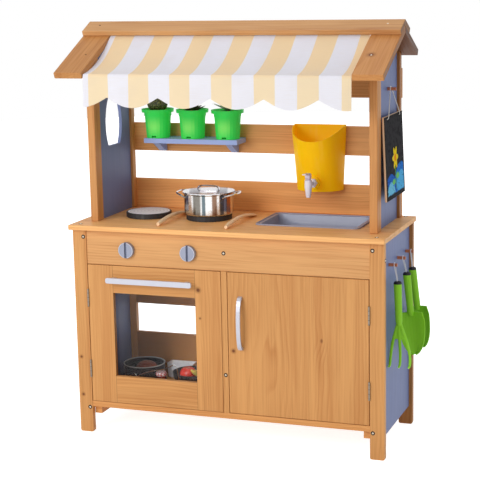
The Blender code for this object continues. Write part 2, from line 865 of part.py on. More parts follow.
def make_sink():
    """A basin with a raised lip round its flange and a bowl that tapers down."""
    carrier = axis_empty("sink_lift", (*SINK_MIDDLE, TOP_HEIGHT))
    rest = TOP_HEIGHT + GAP
    width = SINK_WIDTH - 2 * SINK_FLANGE
    depth = SINK_DEPTH - 2 * SINK_FLANGE
    foot = rest - SINK_BOWL
    within = (SINK_WIDTH - 2 * SINK_LIP_WIDTH, SINK_DEPTH - 2 * SINK_LIP_WIDTH)
    levels = [
        (width - 2 * SINK_TAPER, depth - 2 * SINK_TAPER, SINK_CORNER, foot),
        (width, depth, SINK_CORNER, rest),
        (SINK_WIDTH, SINK_DEPTH, SINK_CORNER, rest),
        (SINK_WIDTH, SINK_DEPTH, SINK_CORNER, rest + SINK_LIP),
        (*within, SINK_CORNER - SINK_LIP_WIDTH / 2, rest + SINK_LIP),
        (*within, SINK_CORNER - SINK_LIP_WIDTH / 2, rest + SINK_WALL),
        (width - 2 * SINK_WALL, depth - 2 * SINK_WALL, SINK_CORNER - SINK_WALL, rest + SINK_WALL),
        (
            width - 2 * SINK_TAPER - 2 * SINK_WALL,
            depth - 2 * SINK_TAPER - 2 * SINK_WALL,
            SINK_CORNER - SINK_WALL,
            foot + SINK_WALL,
        ),
    ]
    rings = [rounded_rectangle(SINK_MIDDLE, *level) for level in levels]
    finish(stack(rings), "sink_basin", "sink_grey", carrier, smooth=True)


def hob_places():
    middle = HOB_FROM_LEFT - TOP_WIDTH / 2
    return {"left_hob_plate": middle - HOB_SPACING / 2, "right_hob_plate": middle + HOB_SPACING / 2}


def make_hob_plates():
    rest = TOP_HEIGHT + GAP
    head = TOP_HEIGHT + HOB_THICK
    chamfer = 0.0012
    profile = [
        (0, rest),
        (HOB_RADIUS - chamfer, rest),
        (HOB_RADIUS, rest + chamfer),
        (HOB_RADIUS, head - chamfer),
        (HOB_RADIUS - chamfer, head),
        (0, head),
    ]
    for name, x in hob_places().items():
        plate = lathe(profile, STEPS_LARGE, Matrix.Translation((x, HOB_Y, 0)))
        finish(plate, name, "black", kitchen, smooth=True)


def make_pot():
    """The cooking pot on the right hob plate, with two loop handles under its lip."""
    x = hob_places()["right_hob_plate"]
    y = HOB_Y
    foot = TOP_HEIGHT + HOB_THICK + GAP
    carrier = axis_empty("pot_lift", (x, y, foot))
    rim = foot + POT_HEIGHT
    round_foot = 0.004
    inner = POT_RADIUS - POT_WALL
    profile = [
        (0, foot),
        (POT_RADIUS - round_foot, foot),
        (POT_RADIUS, foot + round_foot),
        (POT_RADIUS, rim - POT_LIP),
        (POT_RADIUS + POT_LIP, rim - POT_WALL),
        (POT_RADIUS + POT_LIP, rim),
        (inner, rim - POT_LIP / 2),
        (inner, foot + POT_WALL + round_foot / 2),
        (inner - round_foot / 2, foot + POT_WALL),
        (0, foot + POT_WALL),
    ]
    pot = lathe(profile, STEPS_LARGE, Matrix.Translation((x, y, 0)))
    spread = math.radians(POT_HANDLE_SPREAD)
    low = rim - POT_HANDLE_DROP
    reach = POT_RADIUS + POT_HANDLE_REACH
    for sign in (-1, 1):
        points = []
        for radius, share, height in (
            (POT_RADIUS - POT_WALL / 2, 1, low),
            (POT_RADIUS + POT_HANDLE_REACH / 2, 0.95, low + POT_HANDLE_DROP / 2),
            (reach, 0.5, rim - POT_HANDLE_RADIUS),
            (reach + 0.001, 0, rim - POT_HANDLE_RADIUS),
            (reach, -0.5, rim - POT_HANDLE_RADIUS),
            (POT_RADIUS + POT_HANDLE_REACH / 2, -0.95, low + POT_HANDLE_DROP / 2),
            (POT_RADIUS - POT_WALL / 2, -1, low),
        ):
            angle = spread * share
            points.append((x + sign * radius * math.cos(angle), y + radius * math.sin(angle), height))
        join(pot, tube(curve_through(points, 2), POT_HANDLE_RADIUS, 6))
    finish(pot, "pot", "steel", carrier, smooth=True)
    make_lid(x, y, rim)


def make_lid(x, y, rim):
    """The domed lid that sits on the pot's lip, with a bent wire for its handle."""
    carrier = axis_empty("pot_lid_lift", (x, y, rim))
    rest = rim + GAP
    edge = POT_RADIUS + POT_LIP * 0.8
    count = 5
    shares = [i / count for i in range(count + 1)]
    outer = [(edge * share, rest + LID_THICK + LID_RISE * (1 - share**2)) for share in shares]
    inner = [(edge * share, rest + LID_RISE * (1 - share**2)) for share in shares[::-1]]
    inner[0] = (edge, rest)
    lid = lathe(outer + inner, STEPS_LARGE, Matrix.Translation((x, y, 0)))
    half = LID_HANDLE_WIDTH / 2
    crown = rest + LID_RISE + LID_THICK / 2
    points = [
        (x - half, y, crown - LID_RISE * (half / edge) ** 2 - LID_THICK / 2),
        (x - half * 0.94, y, crown + LID_HANDLE_HEIGHT * 0.6),
        (x - half * 0.62, y, crown + LID_HANDLE_HEIGHT),
        (x, y, crown + LID_HANDLE_HEIGHT * 1.04),
        (x + half * 0.62, y, crown + LID_HANDLE_HEIGHT),
        (x + half * 0.94, y, crown + LID_HANDLE_HEIGHT * 0.6),
        (x + half, y, crown - LID_RISE * (half / edge) ** 2 - LID_THICK / 2),
    ]
    join(lid, tube(curve_through(points, 2), LID_HANDLE_RADIUS, 6))
    finish(lid, "pot_lid", "steel", carrier, smooth=True)


def make_spoons():
    """Two wooden spoons with a round grip in front and a flat bowed head behind."""
    pot = hob_places()["right_hob_plate"]
    for name, x in (
        ("left_wooden_spoon", pot + LEFT_SPOON_FROM_POT),
        ("right_wooden_spoon", pot + RIGHT_SPOON_FROM_POT),
    ):
        carrier = axis_empty(f"{name}_lift", (x, SPOON_FRONT, TOP_HEIGHT))
        rings = []
        count = 14
        sides = 10
        neck = 1 - SPOON_HEAD_LENGTH / SPOON_LENGTH
        for step in range(count + 1):
            share = step / count
            closing = 1 - abs(2 * share - 1) ** 14
            swell = max(0.0, (share - neck) / (1 - neck))
            half_width = SPOON_THICK / 2 * (1 - 0.25 * share)
            half_width += (SPOON_HEAD_WIDTH / 2 - half_width) * math.sin(math.pi * min(1, 1.25 * swell) / 2)
            half_width *= max(0.5, closing) ** 0.5
            half_height = SPOON_THICK / 2 * (1 - 0.45 * share) * max(0.5, closing) ** 0.5
            lift = SPOON_BOW * math.sin(math.pi * share)
            middle = lift - SPOON_THICK / 2 * 0.45 * share
            ring = []
            for side in range(sides):
                angle = 2 * math.pi * (side + 0.5) / sides
                ring.append(
                    (
                        x + half_width * math.cos(angle),
                        SPOON_FRONT + SPOON_LENGTH * share,
                        middle + half_height * math.sin(angle),
                    )
                )
            rings.append(ring)
        spoon = stack(rings)
        lowest = min(corner[2] for corner in spoon.bound_box)
        spoon.data.transform(Matrix.Translation((0, 0, TOP_HEIGHT + GAP - lowest)))
        finish(spoon, name, "pine", carrier, smooth=True)


def make_posts():
    foot = TOP_HEIGHT + GAP
    clear = GAP * SLOPE_STRETCH
    for side, sign in (("left", -1), ("right", 1)):
        for place, start, depth, width in (
            ("front", FRONT_POST_Y, FRONT_POST_DEPTH, FRONT_POST_WIDTH),
            ("back", BACK_POST_Y, BACK_POST_DEPTH, BACK_POST_WIDTH),
        ):
            end = start + depth
            outline = [
                (start, foot),
                (end, foot),
                (end, roof_under(end) - clear),
                (start, roof_under(start) - clear),
            ]
            faces = sorted((sign * FRAME_OUTER, sign * (FRAME_OUTER - width)))
            finish(prism(outline, "X", *faces), f"{place}_{side}_post", "pine", kitchen, edge=EDGE)


def make_upper_panels():
    front = FRONT_POST_Y + FRONT_POST_DEPTH + GAP
    back = BACK_POST_Y - GAP
    clear = GAP * SLOPE_STRETCH
    outline = [(front, TOP_HEIGHT + GAP), (back, TOP_HEIGHT + GAP)]
    outline += [(y, roof_under(y) - clear) for y in (back, RIDGE_Y, front)]
    for side, sign in (("left", -1), ("right", 1)):
        faces = sorted((sign * UPPER_PANEL_INNER, sign * UPPER_PANEL_OUTER))
        panel = prism(outline, "X", *faces)
        if side == "left":
            cut(panel, prism(cutout_outline(), "X", faces[0] - 0.01, faces[1] + 0.01))
        else:
            height = TOP_HEIGHT + BOARD_PEG_HEIGHT
            start = UPPER_PANEL_INNER + UPPER_PANEL_THICK / 2
            end = UPPER_PANEL_OUTER + BOARD_PEG_LENGTH
            join(panel, rod((start, BOARD_Y, height), (end, BOARD_Y, height), PEG_RADIUS))
        finish(panel, f"{side}_upper_panel", "blue_panel", kitchen)


def cutout_outline():
    """An upright oval with a flat sill."""
    middle = TOP_HEIGHT + CUTOUT_HEIGHT
    sill = math.asin(CUTOUT_BELOW_MIDDLE / CUTOUT_HALF_HEIGHT)
    count = 22
    outline = []
    for step in range(count + 1):
        angle = -sill + (math.pi + 2 * sill) * step / count
        outline.append(
            (CUTOUT_Y + CUTOUT_WIDTH / 2 * math.cos(angle), middle + CUTOUT_HALF_HEIGHT * math.sin(angle))
        )
    return outline


def make_back_rails():
    back = RAIL_FRONT + RAIL_THICK
    for name, foot, height in (
        ("splashback", GAP, SPLASH_HEIGHT),
        ("middle_back_rail", MIDDLE_RAIL_FOOT, RAIL_WIDTH),
        ("top_back_rail", TOP_RAIL_FOOT, RAIL_WIDTH),
    ):
        foot += TOP_HEIGHT
        board(name, kitchen, -FRAME_OUTER, FRAME_OUTER, RAIL_FRONT, back, foot, foot + height)


def make_roof_boards():
    drop = ROOF_BOARD_THICK / SLOPE_STRETCH
    for side, sign in (("left", -1), ("right", 1)):
        faces = sorted((sign * ROOF_HALF_WIDTH, sign * (ROOF_HALF_WIDTH - ROOF_BOARD_WIDTH)))
        for place, way, reach in (("front", -1, FRONT_EAVE), ("back", 1, BACK_EAVE)):
            ridge = RIDGE_Y + way * GAP / 2
            eave = RIDGE_Y + way * reach
            heel = eave - way * ROOF_SLOPE * drop
            outline = [
                (ridge, roof_top(ridge)),
                (eave, roof_top(eave)),
                (heel, roof_top(eave) - drop),
                (ridge, roof_under(ridge)),
            ]
            name = f"{side}_{place}_roof_board"
            finish(prism(outline, "X", *faces), name, "pine", kitchen, edge=EDGE)


def make_ridge_cap():
    """Two long boards that meet over the ridge."""
    clear = GAP * SLOPE_STRETCH
    rise = CAP_THICK * SLOPE_STRETCH
    over = CAP_THICK / SLOPE_STRETCH
    ridge = roof_top(RIDGE_Y)
    outline = [(RIDGE_Y, ridge + clear + rise)]
    for way in (1, -1):
        y = RIDGE_Y + way * CAP_REACH
        lower = (y, roof_top(y) + clear)
        upper = (y + way * ROOF_SLOPE * over, roof_top(y) + clear + over)
        outline += [upper, lower] if way == 1 else []
        if way == 1:
            outline.append((RIDGE_Y, ridge + clear))
        else:
            outline += [lower, upper]
    cap = prism(outline, "X", -ROOF_HALF_WIDTH, ROOF_HALF_WIDTH)
    finish(cap, "ridge_cap", "pine", kitchen, edge=EDGE)


def awning_height(y):
    """Height of the awning's middle surface on its way down from the cap to the crease."""
    start = RIDGE_Y - CAP_REACH
    crease = TOP_HEIGHT + AWNING_CREASE_HEIGHT
    head = roof_top(start) - AWNING_THICK
    share = (y - AWNING_CREASE_Y) / (start - AWNING_CREASE_Y)
    return crease + (head - crease) * share - 4 * AWNING_SAG * share * (1 - share)


def awning_columns():
    """Places across the awning: eight to a scallop, so that each cusp falls on one."""
    half = ROOF_HALF_WIDTH - ROOF_BOARD_WIDTH - AWNING_SIDE_GAP
    pitch = SCALLOP_WIDTH / 8
    first = math.ceil((-half - SCALLOP_SHIFT) / pitch + 0.3)
    last = math.floor((half - SCALLOP_SHIFT) / pitch - 0.3)
    return [-half] + [SCALLOP_SHIFT + pitch * step for step in range(first, last + 1)] + [half]


def make_awning():
    """The canvas: tucked under the cap, sagging to the front strip and hanging in scallops."""
    start = RIDGE_Y - CAP_REACH
    tuck = start + AWNING_TUCK
    under_cap = AWNING_THICK / 2 + GAP
    columns = awning_columns()
    half = columns[-1]
    grid = []
    for y in (tuck, start + AWNING_TUCK / 3):
        height = roof_top(y) - under_cap * SLOPE_STRETCH
        grid.append([Vector((x, y, height)) for x in columns])
    for share in (0.93, 0.78, 0.6, 0.42, 0.25, 0.1, 0.0):
        y = AWNING_CREASE_Y + (start - AWNING_CREASE_Y) * share
        row = []
        for x in columns:
            wave = math.cos(4 * math.pi * x / half) * math.sin(math.pi * share)
            row.append(Vector((x, y, awning_height(y) - AWNING_BILLOW * wave)))
        grid.append(row)
    crease = TOP_HEIGHT + AWNING_CREASE_HEIGHT
    bend = 1.5 * AWNING_THICK
    for share in (0.0, 0.45, 0.75, 1.0):
        row = []
        for x in columns:
            turn = math.pi * (x - SCALLOP_SHIFT) / SCALLOP_WIDTH
            drop = VALANCE_DROP + SCALLOP_DEPTH * abs(math.sin(turn))
            flare = VALANCE_FLARE * share * math.sin(turn) ** 2
            row.append(
                Vector((x, AWNING_CREASE_Y - bend / 2 - flare, crease - bend - (drop - bend) * share))
            )
        grid.append(row)
    finish(sheet(grid, AWNING_THICK), "awning", "canvas", kitchen, smooth=True)


def make_awning_rail():
    """The strip between the roof boards that the canvas bends over."""
    half = ROOF_HALF_WIDTH - ROOF_BOARD_WIDTH - GAP
    clear = AWNING_THICK + 2 * GAP + AWNING_BILLOW / 2
    front = AWNING_CREASE_Y + 0.0002
    back = front + RAIL_STRIP_DEPTH
    outline = [
        (front, awning_height(front) - clear - RAIL_STRIP_HEIGHT),
        (back, awning_height(front) - clear - RAIL_STRIP_HEIGHT),
        (back, awning_height(back) - clear),
        (front, awning_height(front) - clear),
    ]
    finish(prism(outline, "X", -half, half), "awning_rail", "pine", kitchen)


def make_shelf():
    head = TOP_HEIGHT + SHELF_HEIGHT
    foot = head - SHELF_THICK
    back = RAIL_FRONT - GAP
    right = SHELF_LEFT + SHELF_WIDTH
    shelf = block(SHELF_LEFT, right, back - SHELF_DEPTH, back, foot, head)
    outline = [
        (back, foot + SHELF_THICK / 2),
        (back, foot - BRACKET_HEIGHT),
        (back - BRACKET_DEPTH * 0.2, foot - BRACKET_HEIGHT),
        (back - BRACKET_DEPTH, foot),
        (back - BRACKET_DEPTH, foot + SHELF_THICK / 2),
    ]
    for x in (SHELF_LEFT + BRACKET_INSET, right - BRACKET_INSET - BRACKET_THICK):
        join(shelf, prism(outline, "X", x, x + BRACKET_THICK))
    finish(shelf, "shelf", "pale_blue", kitchen)


def make_plant_pots():
    """Three tapered pots with a rim, a collar under it and a drain notch in the foot."""
    foot = TOP_HEIGHT + SHELF_HEIGHT + GAP
    rim = foot + PLANT_POT_HEIGHT
    band = rim - PLANT_POT_BAND
    collar = rim - PLANT_POT_COLLAR_DROP
    wall = PLANT_POT_WALL
    profile = [
        (0, foot),
        (PLANT_POT_BASE, foot),
        (PLANT_POT_BODY, collar),
        (PLANT_POT_COLLAR, collar),
        (PLANT_POT_COLLAR, band),
        (PLANT_POT_RIM - 0.001, band),
        (PLANT_POT_RIM, rim),
        (PLANT_POT_RIM - wall, rim),
        (PLANT_POT_COLLAR - wall, band),
        (PLANT_POT_BODY - wall, collar),
        (PLANT_POT_BASE - wall, foot + wall),
        (0, foot + wall),
    ]
    middle = SHELF_LEFT + SHELF_WIDTH / 2 + PLANT_POT_SHIFT
    for step in (-1, 0, 1):
        name = f"plant_pot_{step + 2}"
        x = middle + PLANT_POT_SPACING * step
        carrier = axis_empty(f"{name}_lift", (x, PLANT_POT_Y, foot))
        pot = lathe(profile, STEPS_MIDDLE, Matrix.Translation((x, PLANT_POT_Y, 0)))
        front = PLANT_POT_Y - PLANT_POT_BASE
        notch = block(
            x - PLANT_POT_NOTCH,
            x + PLANT_POT_NOTCH,
            front - 0.02,
            front + 0.004,
            foot - 0.001,
            foot + PLANT_POT_NOTCH,
        )
        finish(cut(pot, notch), name, "leaf_green", carrier, smooth=True)


def tank_depth(height):
    """How far the tank's front stands out from its back, at a height above the worktop."""
    rim = TANK_FOOT + TANK_BACK_HEIGHT - TANK_RIM_DIP
    share = (height - TANK_FOOT) / (rim - TANK_FOOT)
    return TANK_DEPTH_FOOT + (TANK_DEPTH_RIM - TANK_DEPTH_FOOT) * share


def tank_ring(share, inset, floor):
    """One ring round the tank: an arc in front, closed by the flat back."""
    back = RAIL_FRONT - GAP - inset
    count = 20
    ring = []
    for step in range(count + 1):
        angle = math.pi * step / count
        rim = TANK_FOOT + TANK_BACK_HEIGHT - TANK_RIM_DIP * math.sin(angle) ** 1.3
        height = TANK_FOOT + floor + (rim - TANK_FOOT - floor) * share
        rise = (height - TANK_FOOT) / TANK_BACK_HEIGHT
        half = TANK_HALF_WIDTH_FOOT + (TANK_HALF_WIDTH_RIM - TANK_HALF_WIDTH_FOOT) * rise - inset
        depth = tank_depth(height) - 2 * inset
        ring.append(
            (
                TANK_X + half * math.cos(angle),
                back - depth * math.sin(angle) ** 0.85,
                TOP_HEIGHT + height,
            )
        )
    return ring


def make_dispenser():
    """The water tank, hooked over the middle rail, with the tap screwed through its front."""
    back = RAIL_FRONT - GAP
    tap_height = TOP_HEIGHT + TAP_HEIGHT
    carrier = axis_empty("dispenser_lift", (TANK_X, back, TOP_HEIGHT + TANK_FOOT))
    shares = (0.0, 0.35, 0.7, 1.0)
    rings = [tank_ring(share, 0, 0) for share in shares]
    rings += [tank_ring(share, TANK_WALL, TANK_WALL) for share in shares[::-1]]
    tank = stack(rings)
    face = back - tank_depth(TAP_HEIGHT + BOSS_RADIUS) - BOSS_STEP
    root = back - tank_depth(TAP_HEIGHT - BOSS_RADIUS) + 2 * TANK_WALL
    join(tank, rod((TANK_X, root, tap_height), (TANK_X, face, tap_height), BOSS_RADIUS, STEPS_MIDDLE))
    bore = TAP_STEM + SHAFT_CLEARANCE
    cut(tank, rod((TANK_X, root + 0.02, tap_height), (TANK_X, face - 0.02, tap_height), bore))
    rail_head = TOP_HEIGHT + MIDDLE_RAIL_FOOT + RAIL_WIDTH
    rail_back = RAIL_FRONT + RAIL_THICK + GAP
    for sign in (-1, 1):
        x = TANK_X + sign * HOOK_SPACING / 2
        outline = [
            (back - TANK_WALL / 2, rail_head + GAP),
            (rail_back, rail_head + GAP),
            (rail_back, rail_head - HOOK_DROP),
            (rail_back + HOOK_THICK, rail_head - HOOK_DROP),
            (rail_back + HOOK_THICK, rail_head + GAP + HOOK_THICK),
            (back - TANK_WALL / 2, rail_head + GAP + HOOK_THICK),
        ]
        join(tank, prism(outline, "X", x - HOOK_WIDTH / 2, x + HOOK_WIDTH / 2))
    finish(tank, "water_dispenser", "yellow", carrier, smooth=True)
    make_tap(carrier, face, root, tap_height)


def make_tap(carrier, face, root, height):
    """A stem through the tank with a hex nut, and an upright spout with a lever on its head."""
    nut_back = face - GAP
    spout = nut_back - NUT_THICK - TAP_REACH + TAP_RADIUS
    head = height + TAP_HEAD
    foot = height - TAP_SPOUT
    profile = [
        (0, head),
        (TAP_RADIUS * 0.95, head),
        (TAP_RADIUS, height - TAP_STEM),
        (TAP_RADIUS * 0.6, foot),
        (TAP_BORE, foot),
        (TAP_BORE, foot + TAP_SPOUT / 2),
        (0, foot + TAP_SPOUT / 2),
    ]
    tap = lathe(profile, STEPS_SMALL + 4, Matrix.Translation((TANK_X, spout, 0)))
    join(
        tap,
        rod((TANK_X, spout, height), (TANK_X, root + 2 * TANK_WALL, height), TAP_STEM),
        rod((TANK_X, nut_back - NUT_THICK, height), (TANK_X, nut_back, height), NUT_RADIUS, 6),
    )
    finish(tap, "dispenser_tap", "white", carrier, smooth=True)
    hub = (TANK_X, spout, head + GAP + LEVER_HUB)
    lever_axis = axis_empty("tap_lever_axis", hub)
    half = LEVER_WIDTH / 2
    lever = rod((TANK_X - half, *hub[1:]), (TANK_X + half, *hub[1:]), LEVER_HUB, STEPS_SMALL + 4)
    top = hub[2] + LEVER_HUB
    outline = [
        (spout, top - LEVER_THICK),
        (spout, top - 0.0002),
        (spout - LEVER_LENGTH, top + LEVER_THICK * 0.6),
        (spout - LEVER_LENGTH, top - LEVER_THICK * 0.2),
    ]
    join(lever, prism(outline, "X", TANK_X - half * 0.8, TANK_X + half * 0.8))
    finish(lever, "tap_lever", "white", lever_axis, smooth=True)


def make_blackboard():
    """The board on its cord, which hangs over the peg of the right upper panel."""
    peg = (UPPER_PANEL_OUTER, BOARD_Y, TOP_HEIGHT + BOARD_PEG_HEIGHT)
    carrier = axis_empty("blackboard_axis", peg)
    near = FRAME_OUTER + BOARD_STANDOFF
    far = near + BOARD_THICK
    head = TOP_HEIGHT + BOARD_TOP
    lean = math.radians(BOARD_LEAN)
    slab = block(near, far, BOARD_Y - BOARD_WIDTH / 2, BOARD_Y + BOARD_WIDTH / 2, head - BOARD_HEIGHT, head)
    hole_height = head - BOARD_HOLE_DROP
    for sign in (-1, 1):
        y = BOARD_Y + sign * BOARD_HOLE_SPREAD
        cut(slab, rod((near - 0.01, y, hole_height), (far + 0.01, y, hole_height), BOARD_HOLE))
    corner = Matrix.Translation((near, 0, head))
    slab.data.transform(corner @ Matrix.Rotation(-lean, 4, "Y") @ corner.inverted())
    finish(slab, "blackboard", "black", carrier, edge=EDGE)

    apex = UPPER_PANEL_OUTER + CORD_ON_PEG
    wrap = PEG_RADIUS + CORD_RADIUS + GAP
    seat = math.sqrt((KNOT_RADIUS + GAP) ** 2 - BOARD_HOLE**2)
    lean_out = BOARD_HOLE_DROP * math.tan(lean)
    front = far + lean_out + CORD_RADIUS + GAP
    knot = near + lean_out - seat
    run = math.atan2(peg[2] - hole_height, BOARD_HOLE_SPREAD)
    arc = []
    for step in range(5):
        angle = math.pi / 2 + run * (1 - step / 4)
        arc.append((apex, wrap * math.cos(angle), peg[2] + wrap * math.sin(angle)))
    bend = 2 * CORD_RADIUS
    rise = arc[0][2] - hole_height
    edge_share = (head + 2 * CORD_RADIUS - hole_height) / rise
    half_route = [
        (knot, -BOARD_HOLE_SPREAD, hole_height),
        ((near + far) / 2, -BOARD_HOLE_SPREAD, hole_height),
        (far, -BOARD_HOLE_SPREAD, hole_height),
        (front, -BOARD_HOLE_SPREAD + bend, hole_height + 1.2 * bend),
    ]
    for x, share in ((front, edge_share), ((front + apex) / 2, (1 + edge_share) / 2)):
        across = (arc[0][1] + BOARD_HOLE_SPREAD) * share - BOARD_HOLE_SPREAD
        half_route.append((x, across, hole_height + rise * share))
    left = half_route + arc
    right = [(x, -y, z) for x, y, z in left[-2::-1]]
    route = [(x, BOARD_Y + y, z) for x, y, z in left + right]
    cord = tube(curve_through(route, 2), CORD_RADIUS, 6)
    for sign in (-1, 1):
        join(cord, ball((knot, BOARD_Y + sign * BOARD_HOLE_SPREAD, hole_height), KNOT_RADIUS, 8))
    finish(cord, "blackboard_cord", "white", carrier, smooth=True)


def hanging_loop(place, top, lean):
    """The string that goes up from a tool's grip, over its peg and down again."""
    x = PANEL_OUTER + STRING_FROM_PANEL
    wrap = PEG_RADIUS + STRING_RADIUS + GAP
    sink = 0.004
    foot_x = top[0] + sink * math.sin(lean)
    foot_z = top[2] - sink
    route = [(foot_x, place - 0.003, foot_z)]
    for share in (0.25, 0.6):
        route.append(
            (
                top[0] + (x - top[0]) * share,
                place - 0.003 - (wrap - 0.003) * share,
                top[2] + (PEG_HEIGHT - top[2]) * share,
            )
        )
    for step in range(7):
        angle = math.pi - math.pi * step / 6
        route.append((x, place + wrap * math.cos(angle), PEG_HEIGHT + wrap * math.sin(angle)))
    for share in (0.6, 0.25):
        route.append(
            (
                top[0] + (x - top[0]) * share,
                place + 0.003 + (wrap - 0.003) * share,
                top[2] + (PEG_HEIGHT - top[2]) * share,
            )
        )
    route.append((foot_x, place + 0.003, foot_z))
    return tube(route, STRING_RADIUS, 6)


def tool_grip():
    """The tools' round grip, hanging down from its top at zero."""
    radius = TOOL_HANDLE_RADIUS
    profile = [
        (0, 0),
        (radius * 0.75, 0),
        (radius, -0.004),
        (radius * 0.92, -TOOL_GRIP * 0.5),
        (radius * 0.85, -TOOL_GRIP),
        (radius * 0.6, -TOOL_GRIP - 0.012),
        (0, -TOOL_GRIP - 0.012),
    ]
    return lathe(profile, STEPS_SMALL + 2)


def make_rake_head(grip):
    start = -TOOL_GRIP + 0.004
    for sign in (-1, 0, 1):
        spread = TINE_SPREAD * sign
        route = [
            (0, 0, start),
            (0.35 * spread, 0, start - 0.24 * TINE_LENGTH),
            (0.72 * spread, 0.001, start - 0.5 * TINE_LENGTH),
            (0.95 * spread, 0.002, start - 0.76 * TINE_LENGTH),
            (spread, -0.003, start - 0.92 * TINE_LENGTH),
            (spread, -0.011, start - 0.99 * TINE_LENGTH),
            (spread, -0.020, start - TINE_LENGTH),
        ]
        path = curve_through(route, 2)
        last = len(path) - 1
        radii = [TINE_RADIUS * (1.15 - 0.4 * i / last) for i in range(len(path))]
        join(grip, tube(path, radii, 8))
    palm = []
    for share in (0.2, 0.45, 0.7, 1.0):
        half = RAKE_PALM_HALF_WIDTH * (0.45 + 0.55 * share)
        drop = RAKE_PALM_LENGTH * share
        palm.append([Vector((half * across, 0, start - drop)) for across in (-1, -0.5, 0, 0.5, 1)])
    join(grip, sheet(palm, RAKE_PALM_THICK))


def make_blade(grip, half_width):
    """A dished blade, open to the front, with a rounded point."""
    rows = []
    head = -TOOL_GRIP - 0.003
    for share in (0.0, 0.04, 0.2, 0.4, 0.58, 0.74, 0.86, 0.94, 0.98, 0.996):
        half = half_width * math.sqrt(1 - share**2.8) * (0.86 + 0.14 * min(1, share / 0.2))
        dish = BLADE_DISH * (1 - 0.45 * share)
        row = []
        for step in range(9):
            across = step / 4 - 1
            row.append(
                Vector((half * across, dish * (0.5 - across * across), head - BLADE_LENGTH * share))
            )
        rows.append(row)
    join(grip, sheet(rows, BLADE_THICK))


def make_tools():
    """A hand rake and two shovels, each hanging from its peg by a loop."""
    near, middle, far = peg_places()
    rake_drop = TOOL_DROP + RAKE_DROP
    rear_drop = TOOL_DROP + REAR_SHOVEL_DROP

    def front_blade(grip):
        make_blade(grip, FRONT_BLADE_HALF_WIDTH)

    def rear_blade(grip):
        make_blade(grip, REAR_BLADE_HALF_WIDTH)

    for name, place, from_panel, drop, lean, shape in (
        ("hand_rake", near, RAKE_FROM_PANEL, rake_drop, RAKE_LEAN, make_rake_head),
        ("front_shovel", middle, FRONT_SHOVEL_FROM_PANEL, TOOL_DROP, FRONT_SHOVEL_LEAN, front_blade),
        ("rear_shovel", far, REAR_SHOVEL_FROM_PANEL, rear_drop, REAR_SHOVEL_LEAN, rear_blade),
    ):
        angle = math.radians(lean)
        top = (PANEL_OUTER + from_panel, place, PEG_HEIGHT - drop)
        carrier = axis_empty(f"{name}_axis", (PANEL_OUTER + STRING_FROM_PANEL, place, PEG_HEIGHT))
        tool = tool_grip()
        shape(tool)
        tool.data.transform(Matrix.Translation(top) @ Matrix.Rotation(-angle, 4, "Y"))
        join(tool, hanging_loop(place, top, angle))
        finish(tool, name, "tool_green", carrier, smooth=True)


def make_oven_dishes():
    """A toy pan and a toy bowl on the oven floor."""
    rest = FLOOR_HEIGHT + GAP
    pan = [
        (0, rest),
        (PAN_RADIUS - 0.008, rest),
        (PAN_RADIUS - 0.002, rest + PAN_HEIGHT * 0.4),
        (PAN_RADIUS, rest + PAN_HEIGHT),
        (PAN_RADIUS - PAN_WALL, rest + PAN_HEIGHT),
        (PAN_RADIUS - PAN_WALL - 0.002, rest + PAN_HEIGHT * 0.4),
        (PAN_RADIUS - PAN_WALL - 0.008, rest + PAN_WALL),
        (0, rest + PAN_WALL),
    ]
    count = 4
    bowl_outer = []
    bowl_inner = []
    for step in range(count + 1):
        turn = math.pi / 2 * step / count
        radius = BOWL_FOOT + (BOWL_RADIUS - BOWL_FOOT) * math.sin(turn)
        bowl_outer.append((radius, rest + BOWL_HEIGHT * (1 - math.cos(turn))))
        rise = (BOWL_HEIGHT - BOWL_WALL) * (1 - math.cos(turn))
        bowl_inner.append((radius - BOWL_WALL, rest + BOWL_WALL + rise))
    bowl = [(0, rest)] + bowl_outer + bowl_inner[::-1] + [(0, rest + BOWL_WALL)]
    for name, profile, place in (
        ("oven_pan", pan, (PAN_X, PAN_Y)),
        ("oven_bowl", bowl, (PAN_X + BOWL_FROM_PAN, BOWL_Y)),
    ):
        carrier = axis_empty(f"{name}_lift", (*place, rest))
        dish = lathe(profile, STEPS_MIDDLE, Matrix.Translation((*place, 0)))
        finish(dish, name, "black", carrier, smooth=True)


def stand_on_origin():
    """Moves the kitchen so that the origin is under the middle of its box."""
    bpy.context.view_layer.update()
    graph = bpy.context.evaluated_depsgraph_get()
    corners = []
    for piece in bpy.context.scene.objects:
        if piece.type == "MESH":
            shape = piece.evaluated_get(graph)
            corners += [shape.matrix_world @ Vector(corner) for corner in shape.bound_box]
    for axis in (0, 1):
        low = min(corner[axis] for corner in corners)
        high = max(corner[axis] for corner in corners)
        kitchen.location[axis] = -(low + high) / 2
    bpy.context.view_layer.update()


for old in list(bpy.data.objects):
    bpy.data.objects.remove(old)

kitchen = bpy.data.objects.new("mud_kitchen", None)
bpy.context.collection.objects.link(kitchen)

make_worktop()
make_legs()
make_side_panels()
make_floor()
make_divider()
make_apron()
make_back()
make_hinges()
make_oven_door()
make_cupboard_door()
make_knobs()
make_sink()
make_hob_plates()
make_pot()
make_spoons()
make_posts()
make_upper_panels()
make_back_rails()
make_roof_boards()
make_ridge_cap()
make_awning()
make_awning_rail()
make_shelf()
make_plant_pots()
make_dispenser()
make_blackboard()
make_tools()
make_oven_dishes()
stand_on_origin()
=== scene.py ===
import math
import random
from contextlib import contextmanager

import bmesh
import bpy
from bpy.props import FloatProperty, FloatVectorProperty, IntProperty, PointerProperty
from mathutils import Matrix, Vector


